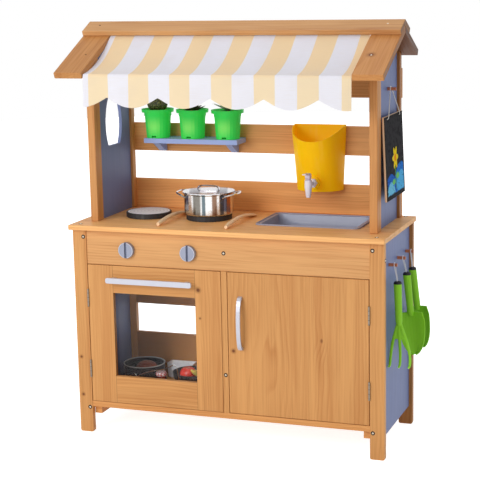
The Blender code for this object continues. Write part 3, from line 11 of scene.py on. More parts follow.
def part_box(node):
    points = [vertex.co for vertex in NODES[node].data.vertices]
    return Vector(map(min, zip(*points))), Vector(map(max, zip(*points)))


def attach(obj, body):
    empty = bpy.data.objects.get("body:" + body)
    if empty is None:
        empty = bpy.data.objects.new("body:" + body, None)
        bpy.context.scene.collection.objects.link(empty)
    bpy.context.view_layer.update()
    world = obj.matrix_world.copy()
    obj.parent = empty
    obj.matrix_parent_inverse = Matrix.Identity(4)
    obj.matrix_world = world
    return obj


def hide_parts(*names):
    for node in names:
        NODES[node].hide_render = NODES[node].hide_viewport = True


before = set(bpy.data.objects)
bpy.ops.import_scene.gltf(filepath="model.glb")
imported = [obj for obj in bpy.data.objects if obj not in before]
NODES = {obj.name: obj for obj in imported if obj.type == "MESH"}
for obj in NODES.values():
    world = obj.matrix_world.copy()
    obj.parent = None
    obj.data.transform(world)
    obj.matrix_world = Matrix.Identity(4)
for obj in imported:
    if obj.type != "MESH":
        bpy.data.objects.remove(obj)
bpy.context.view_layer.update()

bl_info = {
    "name": "Mud kitchen looks",
    "version": (1, 0, 0),
    "blender": (4, 5, 0),
    "location": "3D View > Sidebar > Mud kitchen",
    "description": "Timber, cloth, plants and small fittings of a children's mud kitchen",
    "category": "Object",
}

# Rise of the roof over its run
ROOF_SLOPE = 0.47

# Front face of the legs and of the doors
FRONT = -0.146

# How the grain of a board is turned to lie along X
ALONG = {
    "X": (0.0, 0.0, 0.0),
    "Y": (0.0, 0.0, -math.pi / 2),
    "Z": (0.0, math.pi / 2, 0.0),
    "FRONT_SLOPE": (-math.atan(ROOF_SLOPE), 0.0, -math.pi / 2),
    "BACK_SLOPE": (math.atan(ROOF_SLOPE), 0.0, -math.pi / 2),
}

# Boards by the way that their grain runs
TIMBER = {
    "X": (
        "countertop",
        "front_apron",
        "floor_board",
        "back_upper_board",
        "back_lower_board",
        "splashback",
        "middle_back_rail",
        "top_back_rail",
        "ridge_cap",
        "awning_rail",
    ),
    "Z": (
        "front_left_leg",
        "front_right_leg",
        "back_left_leg",
        "back_right_leg",
        "front_left_post",
        "front_right_post",
        "back_left_post",
        "back_right_post",
        "centre_divider",
        "cupboard_door",
    ),
    "FRONT_SLOPE": ("left_front_roof_board", "right_front_roof_board"),
    "BACK_SLOPE": ("left_back_roof_board", "right_back_roof_board"),
}

# Boards whose colours are scaled paler or darker than the rest: painted light on the worktop,
# splashback, rails and floor board, and painted shade on the roof boards, the oven's back boards
# and the posts and legs at the right end
BOARD_LIGHT_AND_SHADE = {
    "countertop": (1.42, 1.56, 1.75),
    "splashback": (1.36, 1.36, 1.36),
    "top_back_rail": (1.05, 1.0, 0.95),
    "middle_back_rail": (1.16, 1.16, 1.18),
    "front_apron": (1.06, 1.12, 1.28),
    "ridge_cap": (0.92, 0.98, 1.15),
    "left_front_roof_board": (0.82, 0.77, 0.73),
    "right_front_roof_board": (0.86, 0.78, 0.72),
    "right_back_roof_board": (0.30, 0.21, 0.16),
    "back_right_post": (0.60, 0.52, 0.46),
    "back_right_leg": (0.72, 0.66, 0.60),
    "front_right_post": (0.92, 0.85, 0.80),
    "front_left_post": (0.90, 0.86, 0.86),
    "back_upper_board": (0.72, 0.66, 0.62),
    "back_lower_board": (0.72, 0.66, 0.62),
    "floor_board": (1.12, 1.08, 1.05),
}

# How much painted shade darkens a board's face toward +X
PAINTED_SHADE_TOWARD_X = {"ridge_cap": 0.85, "right_front_roof_board": 0.60, "right_back_roof_board": 0.60}

# Where the larger knots lie, and their radius
KNOTS = {
    "front_left_leg": (((-0.4626, FRONT, 0.2196), 0.0042), ((-0.4613, FRONT, 0.1095), 0.0044)),
    "cupboard_door": (((-0.004, FRONT, 0.2697), 0.0052),),
    "oven_door_frame": (((-0.1029, FRONT, 0.4329), 0.0060), ((-0.0992, FRONT, 0.3544), 0.0030)),
    "right_front_roof_board": (((0.3715, -0.1060, 1.0686), 0.0085),),
}


def tint(red, green, blue):
    """A colour as scene-linear numbers, from its usual 0 to 255 values."""

    def linear(value):
        share = value / 255
        return share / 12.92 if share <= 0.04045 else ((share + 0.055) / 1.055) ** 2.4

    return (linear(red), linear(green), linear(blue))


def colour(name, text, *value):
    return FloatVectorProperty(
        name=name, description=text, default=tint(*value), min=0, max=1, size=3, subtype="COLOR"
    )


def length(name, text, value):
    return FloatProperty(name=name, description=text, default=value, unit="LENGTH", precision=4)


def angle(name, text, degrees):
    return FloatProperty(
        name=name, description=text, default=math.radians(degrees), subtype="ANGLE"
    )


def amount(name, text, value):
    return FloatProperty(name=name, description=text, default=value, min=0)


def count(name, text, value, least):
    return IntProperty(name=name, description=text, default=value, min=least)


class MudKitchenTimber(bpy.types.PropertyGroup):
    early_wood: colour("Early wood", "Stained pine between its growth rings", 216, 158, 96)
    late_wood: colour("Late wood", "Stained pine on its growth rings", 178, 110, 54)
    knot: colour("Knot", "Knots in the pine", 104, 54, 28)
    panel: colour("Side panels", "Stain of the four side panels", 110, 124, 170)
    shelf: colour("Shelf", "Paint of the shelf and its brackets", 158, 180, 232)
    peg: colour("Pegs", "Round pegs in the side panels", 190, 112, 76)
    beech: colour("Spoons", "Bare wood of the two spoons", 252, 216, 174)
    ring_spacing: length("Ring spacing", "From one growth ring to the next", 0.0085)


class MudKitchenAwning(bpy.types.PropertyGroup):
    yellow: colour("Yellow stripe", "Dyed stripe of the canvas", 241, 219, 181)
    white: colour("White stripe", "Undyed stripe of the canvas", 234, 233, 241)
    thickness: length("Thickness", "Thickness of the canvas", 0.0009)
    sag: length("Sag", "How far the canvas hangs below a straight line", 0.0165)
    tuck: length("Tuck", "How far the canvas goes in under the ridge cap", 0.028)
    valance: length("Valance", "From the front crease to the cusps of the scallops", 0.061)
    scallop_width: length("Scallop width", "From one cusp to the next", 0.1473)
    scallop_depth: length("Scallop depth", "From the cusps to the lowest point", 0.027)
    flare: length("Flare", "How far the scallops stand out at their foot", 0.004)
    stripe_pitch: length("Stripe pitch", "From one yellow stripe to the next", 0.1172)
    stripe_width: length("Stripe width", "Width of a yellow stripe", 0.0573)
    first_stripe: length("First stripe", "From the left edge to the first yellow stripe", 0.015)
    hem: length("Hem", "Width of the hem round the edge", 0.007)


class MudKitchenFittings(bpy.types.PropertyGroup):
    screw_radius: length("Screw radius", "Radius of the screw heads", 0.0025)
    screw_rise: length("Screw rise", "How far a screw head stands out", 0.0009)
    silver: colour("Silver plastic", "Handles", 196, 197, 208)
    knob: colour("Knobs", "Knobs of the oven and the hob", 148, 153, 172)
    # Painted shade in each knob's groove
    groove: colour("Knob groove", "The line across each knob", 84, 90, 112)
    zinc: colour("Zinc", "Hinges", 140, 130, 118)
    sink: colour("Sink", "Moulded basin", 152, 158, 182)
    tank: colour("Water tank", "Moulded tank", 255, 200, 0)
    tap: colour("Tap", "Tap and its nut", 244, 242, 255)
    lever: colour("Tap lever", "Lever on the tap", 226, 216, 234)


class MudKitchenToys(bpy.types.PropertyGroup):
    tool: colour("Garden tools", "Rake and shovels", 150, 222, 46)
    plant_pot: colour("Plant pots", "Moulded plant pots", 62, 236, 96)
    leaf: colour("Leaves", "Leaves of the rosette", 62, 78, 40)
    pale_leaf: colour("Pale leaves", "Leaves of the fountain plant", 240, 246, 232)
    cactus: colour("Cactus", "Skin of the cactus", 58, 66, 34)
    tomato: colour("Tomato", "Skin of the tomato", 232, 66, 52)
    banana: colour("Banana", "Skin of the banana", 240, 214, 96)
    bread: colour("Bread", "Crust of the bread roll", 150, 70, 38)
    cactus_ribs: count("Cactus ribs", "Ribs round the cactus", 12, 5)
    spikes: count("Spikes", "Pairs of spikes on each rib", 6, 1)


class MudKitchenStudio(bpy.types.PropertyGroup):
    camera_place: FloatVectorProperty(
        name="Camera", description="Where the camera stands", default=(1.28785, -3.61646, 1.2828),
        subtype="TRANSLATION",
    )
    camera_turn: angle("Turn", "Camera's turn to the left of +Y", 20.0428)
    camera_tilt: angle("Tilt", "Camera's tilt below level", 10.8061)
    camera_roll: angle("Roll", "Camera's roll about its own axis", -1.1619)
    camera_lens: amount("Lens", "Focal length on a 36 mm sensor", 105.91)
    key_power: amount("Key light", "Power of the key light", 67)
    fill_power: amount("Fill light", "Power of the fill", 2.5)
    top_power: amount("Top light", "Power of the top light", 8)
    ambient: amount("Ambient", "Strength of the world's light", 0.53)


# Modelling by hand


def only(*pieces):
    """Leaves just these pieces selected, in object mode."""
    if bpy.context.mode != "OBJECT":
        bpy.ops.object.mode_set(mode="OBJECT")
    bpy.ops.object.select_all(action="DESELECT")
    for piece in pieces:
        piece.select_set(True)
    bpy.context.view_layer.objects.active = pieces[0] if pieces else None


def named(name):
    """Names the active piece and its mesh."""
    piece = bpy.context.active_object
    piece.name = name
    piece.data.name = name
    return piece


def begin(add_primitive, name, **settings):
    """Adds a primitive by itself and names it."""
    only()
    add_primitive(**settings)
    return named(name)


@contextmanager
def editing(piece):
    only(piece)
    bpy.ops.object.mode_set(mode="EDIT")
    yield
    bpy.ops.object.mode_set(mode="OBJECT")


def pick(piece, test, kind="FACE"):
    """In edit mode, selects the faces, edges or corners whose middle passes the test."""
    bpy.ops.mesh.select_mode(type=kind)
    bpy.ops.mesh.select_all(action="DESELECT")
    shape = bmesh.from_edit_mesh(piece.data)
    parts = {"FACE": shape.faces, "EDGE": shape.edges, "VERT": shape.verts}[kind]
    for part in parts:
        corners = [part] if kind == "VERT" else list(part.verts)
        middle = sum((corner.co for corner in corners), Vector()) / len(corners)
        part.select_set(bool(test(middle)))
    shape.select_flush_mode()
    bmesh.update_edit_mesh(piece.data)


def close_up(piece):
    """Merges doubled corners and turns every face outwards."""
    with editing(piece):
        bpy.ops.mesh.select_all(action="SELECT")
        bpy.ops.mesh.remove_doubles(threshold=1e-6)
        bpy.ops.mesh.normals_make_consistent(inside=False)


def settle(piece, smooth=True, angle=35.0):
    """Puts the piece's place into its mesh and shades it."""
    only(piece)
    bpy.ops.object.transform_apply(location=True, rotation=True, scale=True)
    if smooth:
        bpy.ops.object.shade_smooth_by_angle(angle=math.radians(angle))
    return piece


def apply(piece, kind, **settings):
    """Adds one modifier and applies it."""
    only(piece)
    modifier = piece.modifiers.new(kind.title(), kind)
    for key, value in settings.items():
        setattr(modifier, key, value)
    bpy.ops.object.modifier_apply(modifier=modifier.name)


def rounded(piece, width, segments):
    """Rounds the piece's sharp edges."""
    apply(
        piece, "BEVEL", width=width, segments=segments, limit_method="ANGLE",
        angle_limit=math.radians(30),
    )


def finer(piece):
    apply(piece, "SUBSURF", levels=1, render_levels=1)


def place(piece, matrix):
    piece.matrix_world = matrix @ piece.matrix_world
    return settle(piece)


def copied(piece, name, matrix):
    """A copy with its own mesh, put in its place."""
    only(piece)
    bpy.ops.object.duplicate(linked=False)
    return place(named(name), matrix)


def joined(name, pieces):
    only(*pieces)
    bpy.ops.object.join()
    return named(name)


def rings_of(radius, foot, profile):
    """Rings of a turned piece, from its shares of the radius and heights over the foot."""
    return [(share * radius, foot + rise) for share, rise in profile]


def drawn_up(name, rings, centre, steps):
    """A turned piece: a ring is extruded and scaled through each (radius, height)."""
    x, y = centre
    radius, height = rings[0]
    piece = begin(
        bpy.ops.mesh.primitive_circle_add, name, vertices=steps, radius=radius,
        fill_type="TRIFAN", location=(x, y, height),
    )
    settle(piece, smooth=False)
    with editing(piece):
        rim = 0.8 * radius
        pick(piece, lambda at: math.hypot(at.x - x, at.y - y) > rim, "EDGE")
        for next_radius, next_height in rings[1:]:
            bpy.ops.mesh.extrude_region_move(
                TRANSFORM_OT_translate={"value": (0, 0, next_height - height)}
            )
            if next_radius <= 0:
                bpy.ops.mesh.merge(type="CENTER")
                break
            share = next_radius / radius
            bpy.ops.transform.resize(value=(share, share, 1), center_override=(x, y, next_height))
            radius, height = next_radius, next_height
    close_up(piece)
    return piece


def bent_bar(name, points, radius, sides=8, radii=None):
    """A round bar along a smooth line, with its ends closed."""
    curve = bpy.data.curves.new(name, "CURVE")
    curve.dimensions = "3D"
    curve.resolution_u = 8
    curve.bevel_depth = radius
    curve.bevel_resolution = max(0, sides // 4 - 1)
    curve.use_fill_caps = True
    line = curve.splines.new("NURBS")
    line.points.add(len(points) - 1)
    for index, point in enumerate(points):
        line.points[index].co = (*point, 1)
        line.points[index].radius = radii[index] if radii else 1.0
    line.order_u = min(4, len(points))
    line.use_endpoint_u = True
    bar = bpy.data.objects.new(name, curve)
    bpy.context.scene.collection.objects.link(bar)
    only(bar)
    bpy.ops.object.convert(target="MESH")
    bar = bpy.context.active_object
    bar.name = name
    close_up(bar)
    return settle(bar)


def dress(piece, body, *materials, slot=None):
    """Gives a finished piece its materials and the body that it rides on."""
    piece.data.materials.clear()
    for material in materials:
        piece.data.materials.append(material)
    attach(piece, body)
    return piece


def coat(material, *nodes):
    """Assigns a material to the slots of CAD nodes."""
    for name in nodes:
        for slot in NODES[name].material_slots:
            slot.material = material


def middle_of(node):
    low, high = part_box(node)
    return (low + high) / 2


def shifted(foot, offsets):
    """Points from how far each lies from a foot."""
    return [tuple(a + b for a, b in zip(foot, offset)) for offset in offsets]


# Shader nodes


def connect(tree, node, inputs):
    """Gives a node its inputs. Each is a value or another node's output."""
    for key, value in inputs.items():
        socket = node.inputs[key]
        if isinstance(value, bpy.types.NodeSocket):
            tree.links.new(value, socket)
        else:
            socket.default_value = value


def feed(tree, node, **inputs):
    """Connects inputs whose names have spaces where these keywords have underscores."""
    connect(tree, node, {key.replace("_", " "): value for key, value in inputs.items()})


def add(tree, kind, inputs=None, **settings):
    """Adds a node with its inputs."""
    node = tree.nodes.new("ShaderNode" + kind)
    for key, value in settings.items():
        setattr(node, key, value)
    connect(tree, node, inputs or {})
    return node


def maths(tree, operation, *values):
    return add(tree, "Math", dict(enumerate(values)), operation=operation).outputs[0]


def times(tree, product, *factors):
    for factor in factors:
        product = maths(tree, "MULTIPLY", product, factor)
    return product


def plus(tree, first, second):
    return maths(tree, "ADD", first, second)


def minus(tree, first, second):
    return maths(tree, "SUBTRACT", first, second)


def apart(tree, first, second):
    """How far two values are from each other."""
    return maths(tree, "ABSOLUTE", minus(tree, first, second))


def ripple(tree, value, rate):
    return maths(tree, "SINE", times(tree, value, rate))


def slant(tree, across, up):
    """How far a point is from zero, across and up."""
    return maths(tree, "SQRT", plus(tree, times(tree, across, across), times(tree, up, up)))


def vectors(tree, operation, *values):
    return add(tree, "VectorMath", dict(enumerate(values)), operation=operation).outputs[0]


def span(tree, vector):
    return add(tree, "VectorMath", {0: vector}, operation="LENGTH").outputs["Value"]


def split(tree, vector):
    return add(tree, "SeparateXYZ", {0: vector}).outputs


def ease(tree, value, start, end, low=0.0, high=1.0):
    """Goes softly from low to high as the value goes from start to end."""
    inputs = {0: value, 1: start, 2: end, 3: low, 4: high}
    return add(tree, "MapRange", inputs, interpolation_type="SMOOTHSTEP").outputs[0]


def blend(tree, factor, low, high):
    """A colour that goes from low to high with the factor."""
    low = (*low, 1) if isinstance(low, tuple) else low
    high = (*high, 1) if isinstance(high, tuple) else high
    return add(tree, "Mix", {0: factor, 6: low, 7: high}, data_type="RGBA").outputs[2]


def layered(tree, look, *layers):
    """Lays each (mask, colour) over the look."""
    for mask, paint in layers:
        look = blend(tree, mask, look, paint)
    return look


def turned(tree, vector, location=(0, 0, 0), rotation=(0, 0, 0), scale=(1, 1, 1)):
    inputs = {"Vector": vector, "Location": location, "Rotation": rotation, "Scale": scale}
    return add(tree, "Mapping", inputs).outputs[0]


def noise(tree, vector, scale, detail=2.0, output="Fac"):
    inputs = {"Vector": vector, "Scale": scale, "Detail": detail}
    return add(tree, "TexNoise", inputs).outputs[output]


def wander(tree, vector, scale, detail, reach):
    """A vector that wanders round zero from place to place."""
    field = noise(tree, vector, scale, detail, "Color")
    field = vectors(tree, "SUBTRACT", field, (0.5, 0.5, 0.5))
    return add(tree, "VectorMath", {0: field, 3: reach}, operation="SCALE").outputs[0]


def coordinates(tree, output="Object"):
    return add(tree, "TexCoord").outputs[output]


def position(tree, axis):
    return split(tree, coordinates(tree))[axis]


def facing(tree, axis):
    """How much the surface faces along an axis."""
    return split(tree, coordinates(tree, "Normal"))[axis]


def new_material(name, **plain):
    """A material, its tree and its shader, with constants set on the shader's own sockets."""
    material = bpy.data.materials.new(name)
    material.use_nodes = True
    tree = material.node_tree
    shader = tree.nodes["Principled BSDF"]
    feed(tree, shader, **plain)
    return material, tree, shader


def bump(tree, shader, height, distance, strength):
    inputs = {"Height": height, "Distance": distance, "Strength": strength}
    feed(tree, shader, Normal=add(tree, "Bump", inputs).outputs[0])


GROUPS = {}

ORIGIN = (0.0, 0.0, 0.0)


def shader_group(name, inputs, outputs):
    """A decorator: builds the named group when it is first used, and places it with its values."""

    def wrap(build):
        def placed(tree, **values):
            if name not in GROUPS:
                group = bpy.data.node_groups.new(name, "ShaderNodeTree")
                sockets = group.interface
                for label, default in inputs.items():
                    kind = "NodeSocketVector" if isinstance(default, tuple) else "NodeSocketFloat"
                    socket = sockets.new_socket(name=label, in_out="INPUT", socket_type=kind)
                    socket.default_value = default
                for label in outputs:
                    sockets.new_socket(name=label, in_out="OUTPUT", socket_type="NodeSocketFloat")
                start = group.nodes.new("NodeGroupInput").outputs
                results = build(group, start)
                end = group.nodes.new("NodeGroupOutput").inputs
                for label, result in zip(outputs, results):
                    group.links.new(result, end[label])
                GROUPS[name] = group
            node = tree.nodes.new("ShaderNodeGroup")
            node.node_tree = GROUPS[name]
            feed(tree, node, **values)
            return node.outputs

        return placed

    return wrap


@shader_group(
    "Sawn grain",
    {"Vector": ORIGIN, "Ring Spacing": 0.0065, "Knots": 1.0},
    ("Rings", "Fibres", "Streaks", "Knots", "Height"),
)
def sawn_grain(tree, start):
    """Growth rings about a line under the board, with fibres along X and a few knots."""
    vector = start["Vector"]

    def drawn_out(along, across):
        return turned(tree, vector, scale=(along, across, across))

    sway, knot_pull = 0.07, 0.010
    drift = wander(tree, drawn_out(1.6, 7.0), 1.0, 3.0, sway)
    cells = add(tree, "TexVoronoi", {"Vector": drawn_out(0.6, 1.0), "Scale": 3.4})
    from_knot = cells.outputs["Distance"]
    knots = times(tree, ease(tree, from_knot, 0.022, 0.012), start["Knots"])
    level = vectors(tree, "MULTIPLY", vectors(tree, "ADD", vector, drift), (0.0, 1.0, 1.0))
    pull = times(tree, ease(tree, from_knot, 0.14, 0.0), knot_pull)
    radius = minus(tree, span(tree, level), pull)
    year = maths(tree, "FRACT", maths(tree, "DIVIDE", radius, start["Ring Spacing"]))
    wear = noise(tree, drawn_out(2.0, 26.0), 1.0, 3.0)
    rings = times(
        tree, maths(tree, "POWER", year, 2.2), ease(tree, year, 1.0, 0.80),
        ease(tree, wear, 0.36, 0.64, 0.10, 1.45),
    )
    fibres = noise(tree, drawn_out(7.0, 330.0), 1.0, 3.0)
    streaks = noise(tree, drawn_out(1.1, 34.0), 1.0, 2.0)
    height = plus(tree, times(tree, rings, 0.4), fibres)
    return rings, fibres, streaks, knots, height


@shader_group("Uneven tone", {"Vector": ORIGIN, "Size": 0.25}, ("Tone", "Smudge"))
def uneven_tone(tree, start):
    """Slow changes of tone over a surface, and smaller smudges for its gloss."""
    scale = maths(tree, "DIVIDE", 1.0, start["Size"])
    tone = noise(tree, start["Vector"], scale, 2.0)
    smudge = noise(tree, start["Vector"], times(tree, scale, 6.0), 4.0)
    return tone, ease(tree, smudge, 0.42, 0.68)


@shader_group("Moulded skin", {"Vector": ORIGIN, "Grain": 900.0}, ("Height", "Scuffs"))
def moulded_skin(tree, start):
    """The fine texture of a moulded surface, with a few rubbed streaks."""
    fine = noise(tree, start["Vector"], start["Grain"], 2.0)
    streaks = noise(tree, turned(tree, start["Vector"], scale=(40.0, 40.0, 9.0)), 1.0, 3.0)
    return fine, ease(tree, streaks, 0.56, 0.74)


@shader_group("Plain weave", {"Vector": ORIGIN, "Threads": 1500.0}, ("Height", "Thread"))
def plain_weave(tree, start):
    """Threads that pass over and under each other, on coordinates in metres."""
    x, y, _ = split(tree, start["Vector"])
    rate = times(tree, start["Threads"], math.pi)
    along, across = ripple(tree, x, rate), ripple(tree, y, rate)
    over = ease(tree, times(tree, along, across), -0.25, 0.25)
    warp = times(tree, maths(tree, "ABSOLUTE", along), over)
    weft = times(tree, maths(tree, "ABSOLUTE", across), minus(tree, 1.0, over))
    slub = noise(tree, turned(tree, start["Vector"], scale=(30.0, 600.0, 1.0)), 1.0, 3.0)
    return plus(tree, warp, weft), slub


@shader_group("Brushed", {"Vector": ORIGIN}, ("Streaks",))
def brushed(tree, start):
    """Fine lines in planes across Z, as a lathe or a belt leaves."""
    return (noise(tree, turned(tree, start["Vector"], scale=(3.0, 3.0, 1500.0)), 1.0, 4.0),)


def scaled(paint, share):
    return tuple(channel * share for channel in paint)


def toned(paint, tone):
    return tuple(channel * share for channel, share in zip(paint, tone))


# Materials


def timber(
    name, along, seed, settings, early=None, late=None, knots=1.0, joints=None, spots=(), shade=0.0
):
    """Stained pine with its grain one way, each board cut from its own part of the tree.

    Joints gives the masks of a frame's rails and of its seams, spots gives larger knots as
    (place, radius), and shade is how much painted shade darkens the face toward +X.
    """
    material, tree, shader = new_material(name, Specular_IOR_Level=0.25)
    chance = random.Random(seed)
    offset = (chance.uniform(-9, 9), chance.uniform(0.03, 0.07), chance.uniform(0.05, 0.09))
    vector = turned(tree, coordinates(tree), offset, ALONG[along])
    if joints:
        from_stile = 3
        offset = (offset[0] + from_stile, *offset[1:])
        cross = turned(tree, coordinates(tree), offset, ALONG["X"])
        inputs = {0: joints(tree)[0], 4: vector, 5: cross}
        vector = add(tree, "Mix", inputs, data_type="VECTOR").outputs[1]
    grain = sawn_grain(tree, Vector=vector, Ring_Spacing=settings.ring_spacing, Knots=knots)
    tones = uneven_tone(tree, Vector=vector, Size=0.3)
    early = tuple(early or settings.early_wood)
    late = tuple(late or settings.late_wood)
    knot = tuple(settings.knot)
    board_tone = chance.uniform(0.0, 0.18)
    look = layered(
        tree, early,
        (times(tree, grain["Rings"], 0.62), late),
        (ease(tree, grain["Fibres"], 0.42, 0.78, 0.0, 0.34), scaled(late, 0.8)),
        (board_tone, scaled(late, 0.95)),
        (ease(tree, tones["Tone"], 0.35, 0.7, 0.0, 0.35), scaled(early, 1.12)),
        (ease(tree, grain["Streaks"], 0.52, 0.68, 0.0, 0.30), scaled(late, 1.02)),
        (ease(tree, grain["Streaks"], 0.46, 0.34, 0.0, 0.40), scaled(early, 1.12)),
        (times(tree, grain["Knots"], 0.8), knot),
    )
    for at, radius in spots:
        distance = span(tree, vectors(tree, "SUBTRACT", coordinates(tree), at))
        halo = ease(tree, distance, 2.1 * radius, 0.8 * radius, 0.0, 0.55)
        heart = ease(tree, distance, 1.05 * radius, 0.6 * radius, 0.0, 0.85)
        look = layered(tree, look, (halo, scaled(late, 0.62)), (heart, knot))
    if joints:
        look = blend(tree, joints(tree)[1], look, scaled(knot, 0.5))
    # Painted shade on the face toward +X
    if shade:
        painted_shade_toward_x = ease(tree, facing(tree, "X"), 0.6, 0.9, 0.0, shade)
        look = blend(tree, painted_shade_toward_x, look, scaled(late, 0.32))
    rough = ease(tree, grain["Fibres"], 0.3, 0.8, 0.42, 0.62)
    feed(tree, shader, Base_Color=look, Roughness=rough)
    bump(tree, shader, grain["Height"], 0.0004, 0.35)
    return material


def outside(tree, value, low, high):
    """1 where the value is below low or above high."""
    soft = 0.0004
    below = ease(tree, value, low + soft, low - soft)
    above = ease(tree, value, high - soft, high + soft)
    return maths(tree, "MAXIMUM", below, above)


def near(tree, value, level, width):
    """1 on a thin line where the value is at the level."""
    return ease(tree, apart(tree, value, level), width, width * 0.4)


def stained_panel(name, along, seed, base, settings, pegs_from=None):
    """A board under an even stain, with a hint of its grain. Past pegs_from lie its bare pegs."""
    material, tree, shader = new_material(name)
    offset = (random.Random(seed).uniform(-9, 9), 0.05, 0.07)
    vector = turned(tree, coordinates(tree), offset, ALONG[along])
    grain = sawn_grain(tree, Vector=vector, Ring_Spacing=0.011, Knots=0.0)
    tones = uneven_tone(tree, Vector=vector, Size=0.22)
    look = layered(
        tree, base,
        (times(tree, grain["Rings"], 0.22), scaled(base, 0.75)),
        (ease(tree, tones["Tone"], 0.35, 0.7, 0.0, 0.25), scaled(base, 1.18)),
        (times(tree, tones["Smudge"], 0.08), scaled(base, 0.75)),
    )
    if pegs_from is not None:
        on_peg = ease(tree, position(tree, "X"), pegs_from, pegs_from + 0.0004)
        look = blend(tree, on_peg, look, tuple(settings.peg))
    rough = ease(tree, grain["Fibres"], 0.3, 0.8, 0.5, 0.66)
    feed(tree, shader, Base_Color=look, Roughness=rough)
    bump(tree, shader, grain["Height"], 0.0003, 0.3)
    return material


def no_marks(tree):
    return ()


def plastic(name, base, rough, metallic=0.0, marks=no_marks, **plain):
    """A moulded plastic. Marks gives (mask, colour) pairs that are printed or set in."""
    material, tree, shader = new_material(name, Metallic=metallic, **plain)
    vector = coordinates(tree)
    skin = moulded_skin(tree, Vector=vector)
    tones = uneven_tone(tree, Vector=vector, Size=0.08)
    base = tuple(base)
    look = layered(
        tree, scaled(base, 0.95),
        (ease(tree, tones["Tone"], 0.3, 0.7, 0.0, 0.5), base),
        (times(tree, skin["Scuffs"], 0.03), (0.8, 0.8, 0.8)),
        *marks(tree),
    )
    gloss = ease(tree, tones["Smudge"], 0.0, 1.0, rough, min(1.0, rough + 0.12))
    feed(tree, shader, Base_Color=look, Roughness=gloss)
    bump(tree, shader, skin["Height"], 0.00015, 0.3)
    return material


def metal(name, base, rough, marks=no_marks):
    """A brushed metal, with marks as on a plastic."""
    material, tree, shader = new_material(name, Metallic=1.0)
    vector = coordinates(tree)
    lines = brushed(tree, Vector=vector)["Streaks"]
    tones = uneven_tone(tree, Vector=vector, Size=0.05)
    base = tuple(base)
    look = layered(tree, scaled(base, 0.9), (ease(tree, lines, 0.35, 0.65), base), *marks(tree))
    gloss = ease(tree, tones["Smudge"], 0.0, 1.0, rough, rough + 0.1)
    feed(tree, shader, Base_Color=look, Roughness=gloss)
    bump(tree, shader, lines, 0.00004, 0.25)
    return material


def settings_of(name):
    return getattr(bpy.context.scene, "mud_kitchen_" + name)


# Boards and panels


def door_joints(tree):
    """Where the oven door's rails lie, and the thin lines where they meet the stiles."""
    pane_low, pane_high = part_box("oven_window")
    lap, seam = 0.0075, 0.0007
    left, right = pane_low.x + lap, pane_high.x - lap
    x = position(tree, "X")
    rails = minus(tree, 1.0, outside(tree, x, left, right))
    seams = maths(tree, "MAXIMUM", near(tree, x, left, seam), near(tree, x, right, seam))
    return rails, times(tree, seams, 0.55)


class MUDKITCHEN_OT_timber(bpy.types.Operator):
    """Gives each pine board its own grain"""

    bl_idname = "mudkitchen.timber"
    bl_label = "Pine boards"

    def execute(self, context):
        settings = settings_of("timber")
        seed, seed_step = 11, 7
        for along, names in TIMBER.items():
            for name in names:
                # Each board's colours carry its painted light and shade, and its face toward +X
                # painted shade
                tone = BOARD_LIGHT_AND_SHADE.get(name, (1.0, 1.0, 1.0))
                pine = timber(
                    "pine_" + name, along, seed, settings, toned(settings.early_wood, tone),
                    toned(settings.late_wood, tone), spots=KNOTS.get(name, ()),
                    shade=PAINTED_SHADE_TOWARD_X.get(name, 0.0),
                )
                coat(pine, name)
                seed += seed_step
        door = timber(
            "pine_oven_door", "Z", 5, settings, joints=door_joints, spots=KNOTS["oven_door_frame"]
        )
        coat(door, "oven_door_frame")
        beech = tuple(settings.beech)
        for name in ("left_wooden_spoon", "right_wooden_spoon"):
            spoon = timber("beech_" + name, "Y", seed, settings, beech, scaled(beech, 0.8), 0.0)
            coat(spoon, name)
            seed += seed_step
        return {"FINISHED"}


class MUDKITCHEN_OT_panels(bpy.types.Operator):
    """Stains the side panels and paints the shelf"""

    bl_idname = "mudkitchen.panels"
    bl_label = "Side panels and shelf"

    def execute(self, context):
        settings = settings_of("timber")
        panel = tuple(settings.panel)
        for seed, name in enumerate(("left_side_panel", "left_upper_panel")):
            coat(stained_panel("stain_" + name, "Z", seed, panel, settings), name)
        set_back, clearance = 0.010, 0.0005
        lower_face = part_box("front_right_leg")[1].x - set_back
        # On both sides the upper panel stands as far in from the lower one
        upper_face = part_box("left_side_panel")[0].x + lower_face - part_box("left_upper_panel")[0].x
        for seed, name, face in (
            (8, "right_side_panel", lower_face),
            (9, "right_upper_panel", upper_face),
        ):
            stain = stained_panel("stain_" + name, "Z", seed, panel, settings, face + clearance)
            coat(stain, name)
        coat(stained_panel("paint_shelf", "X", 4, tuple(settings.shelf), settings), "shelf")
        return {"FINISHED"}


# Screws and hinges


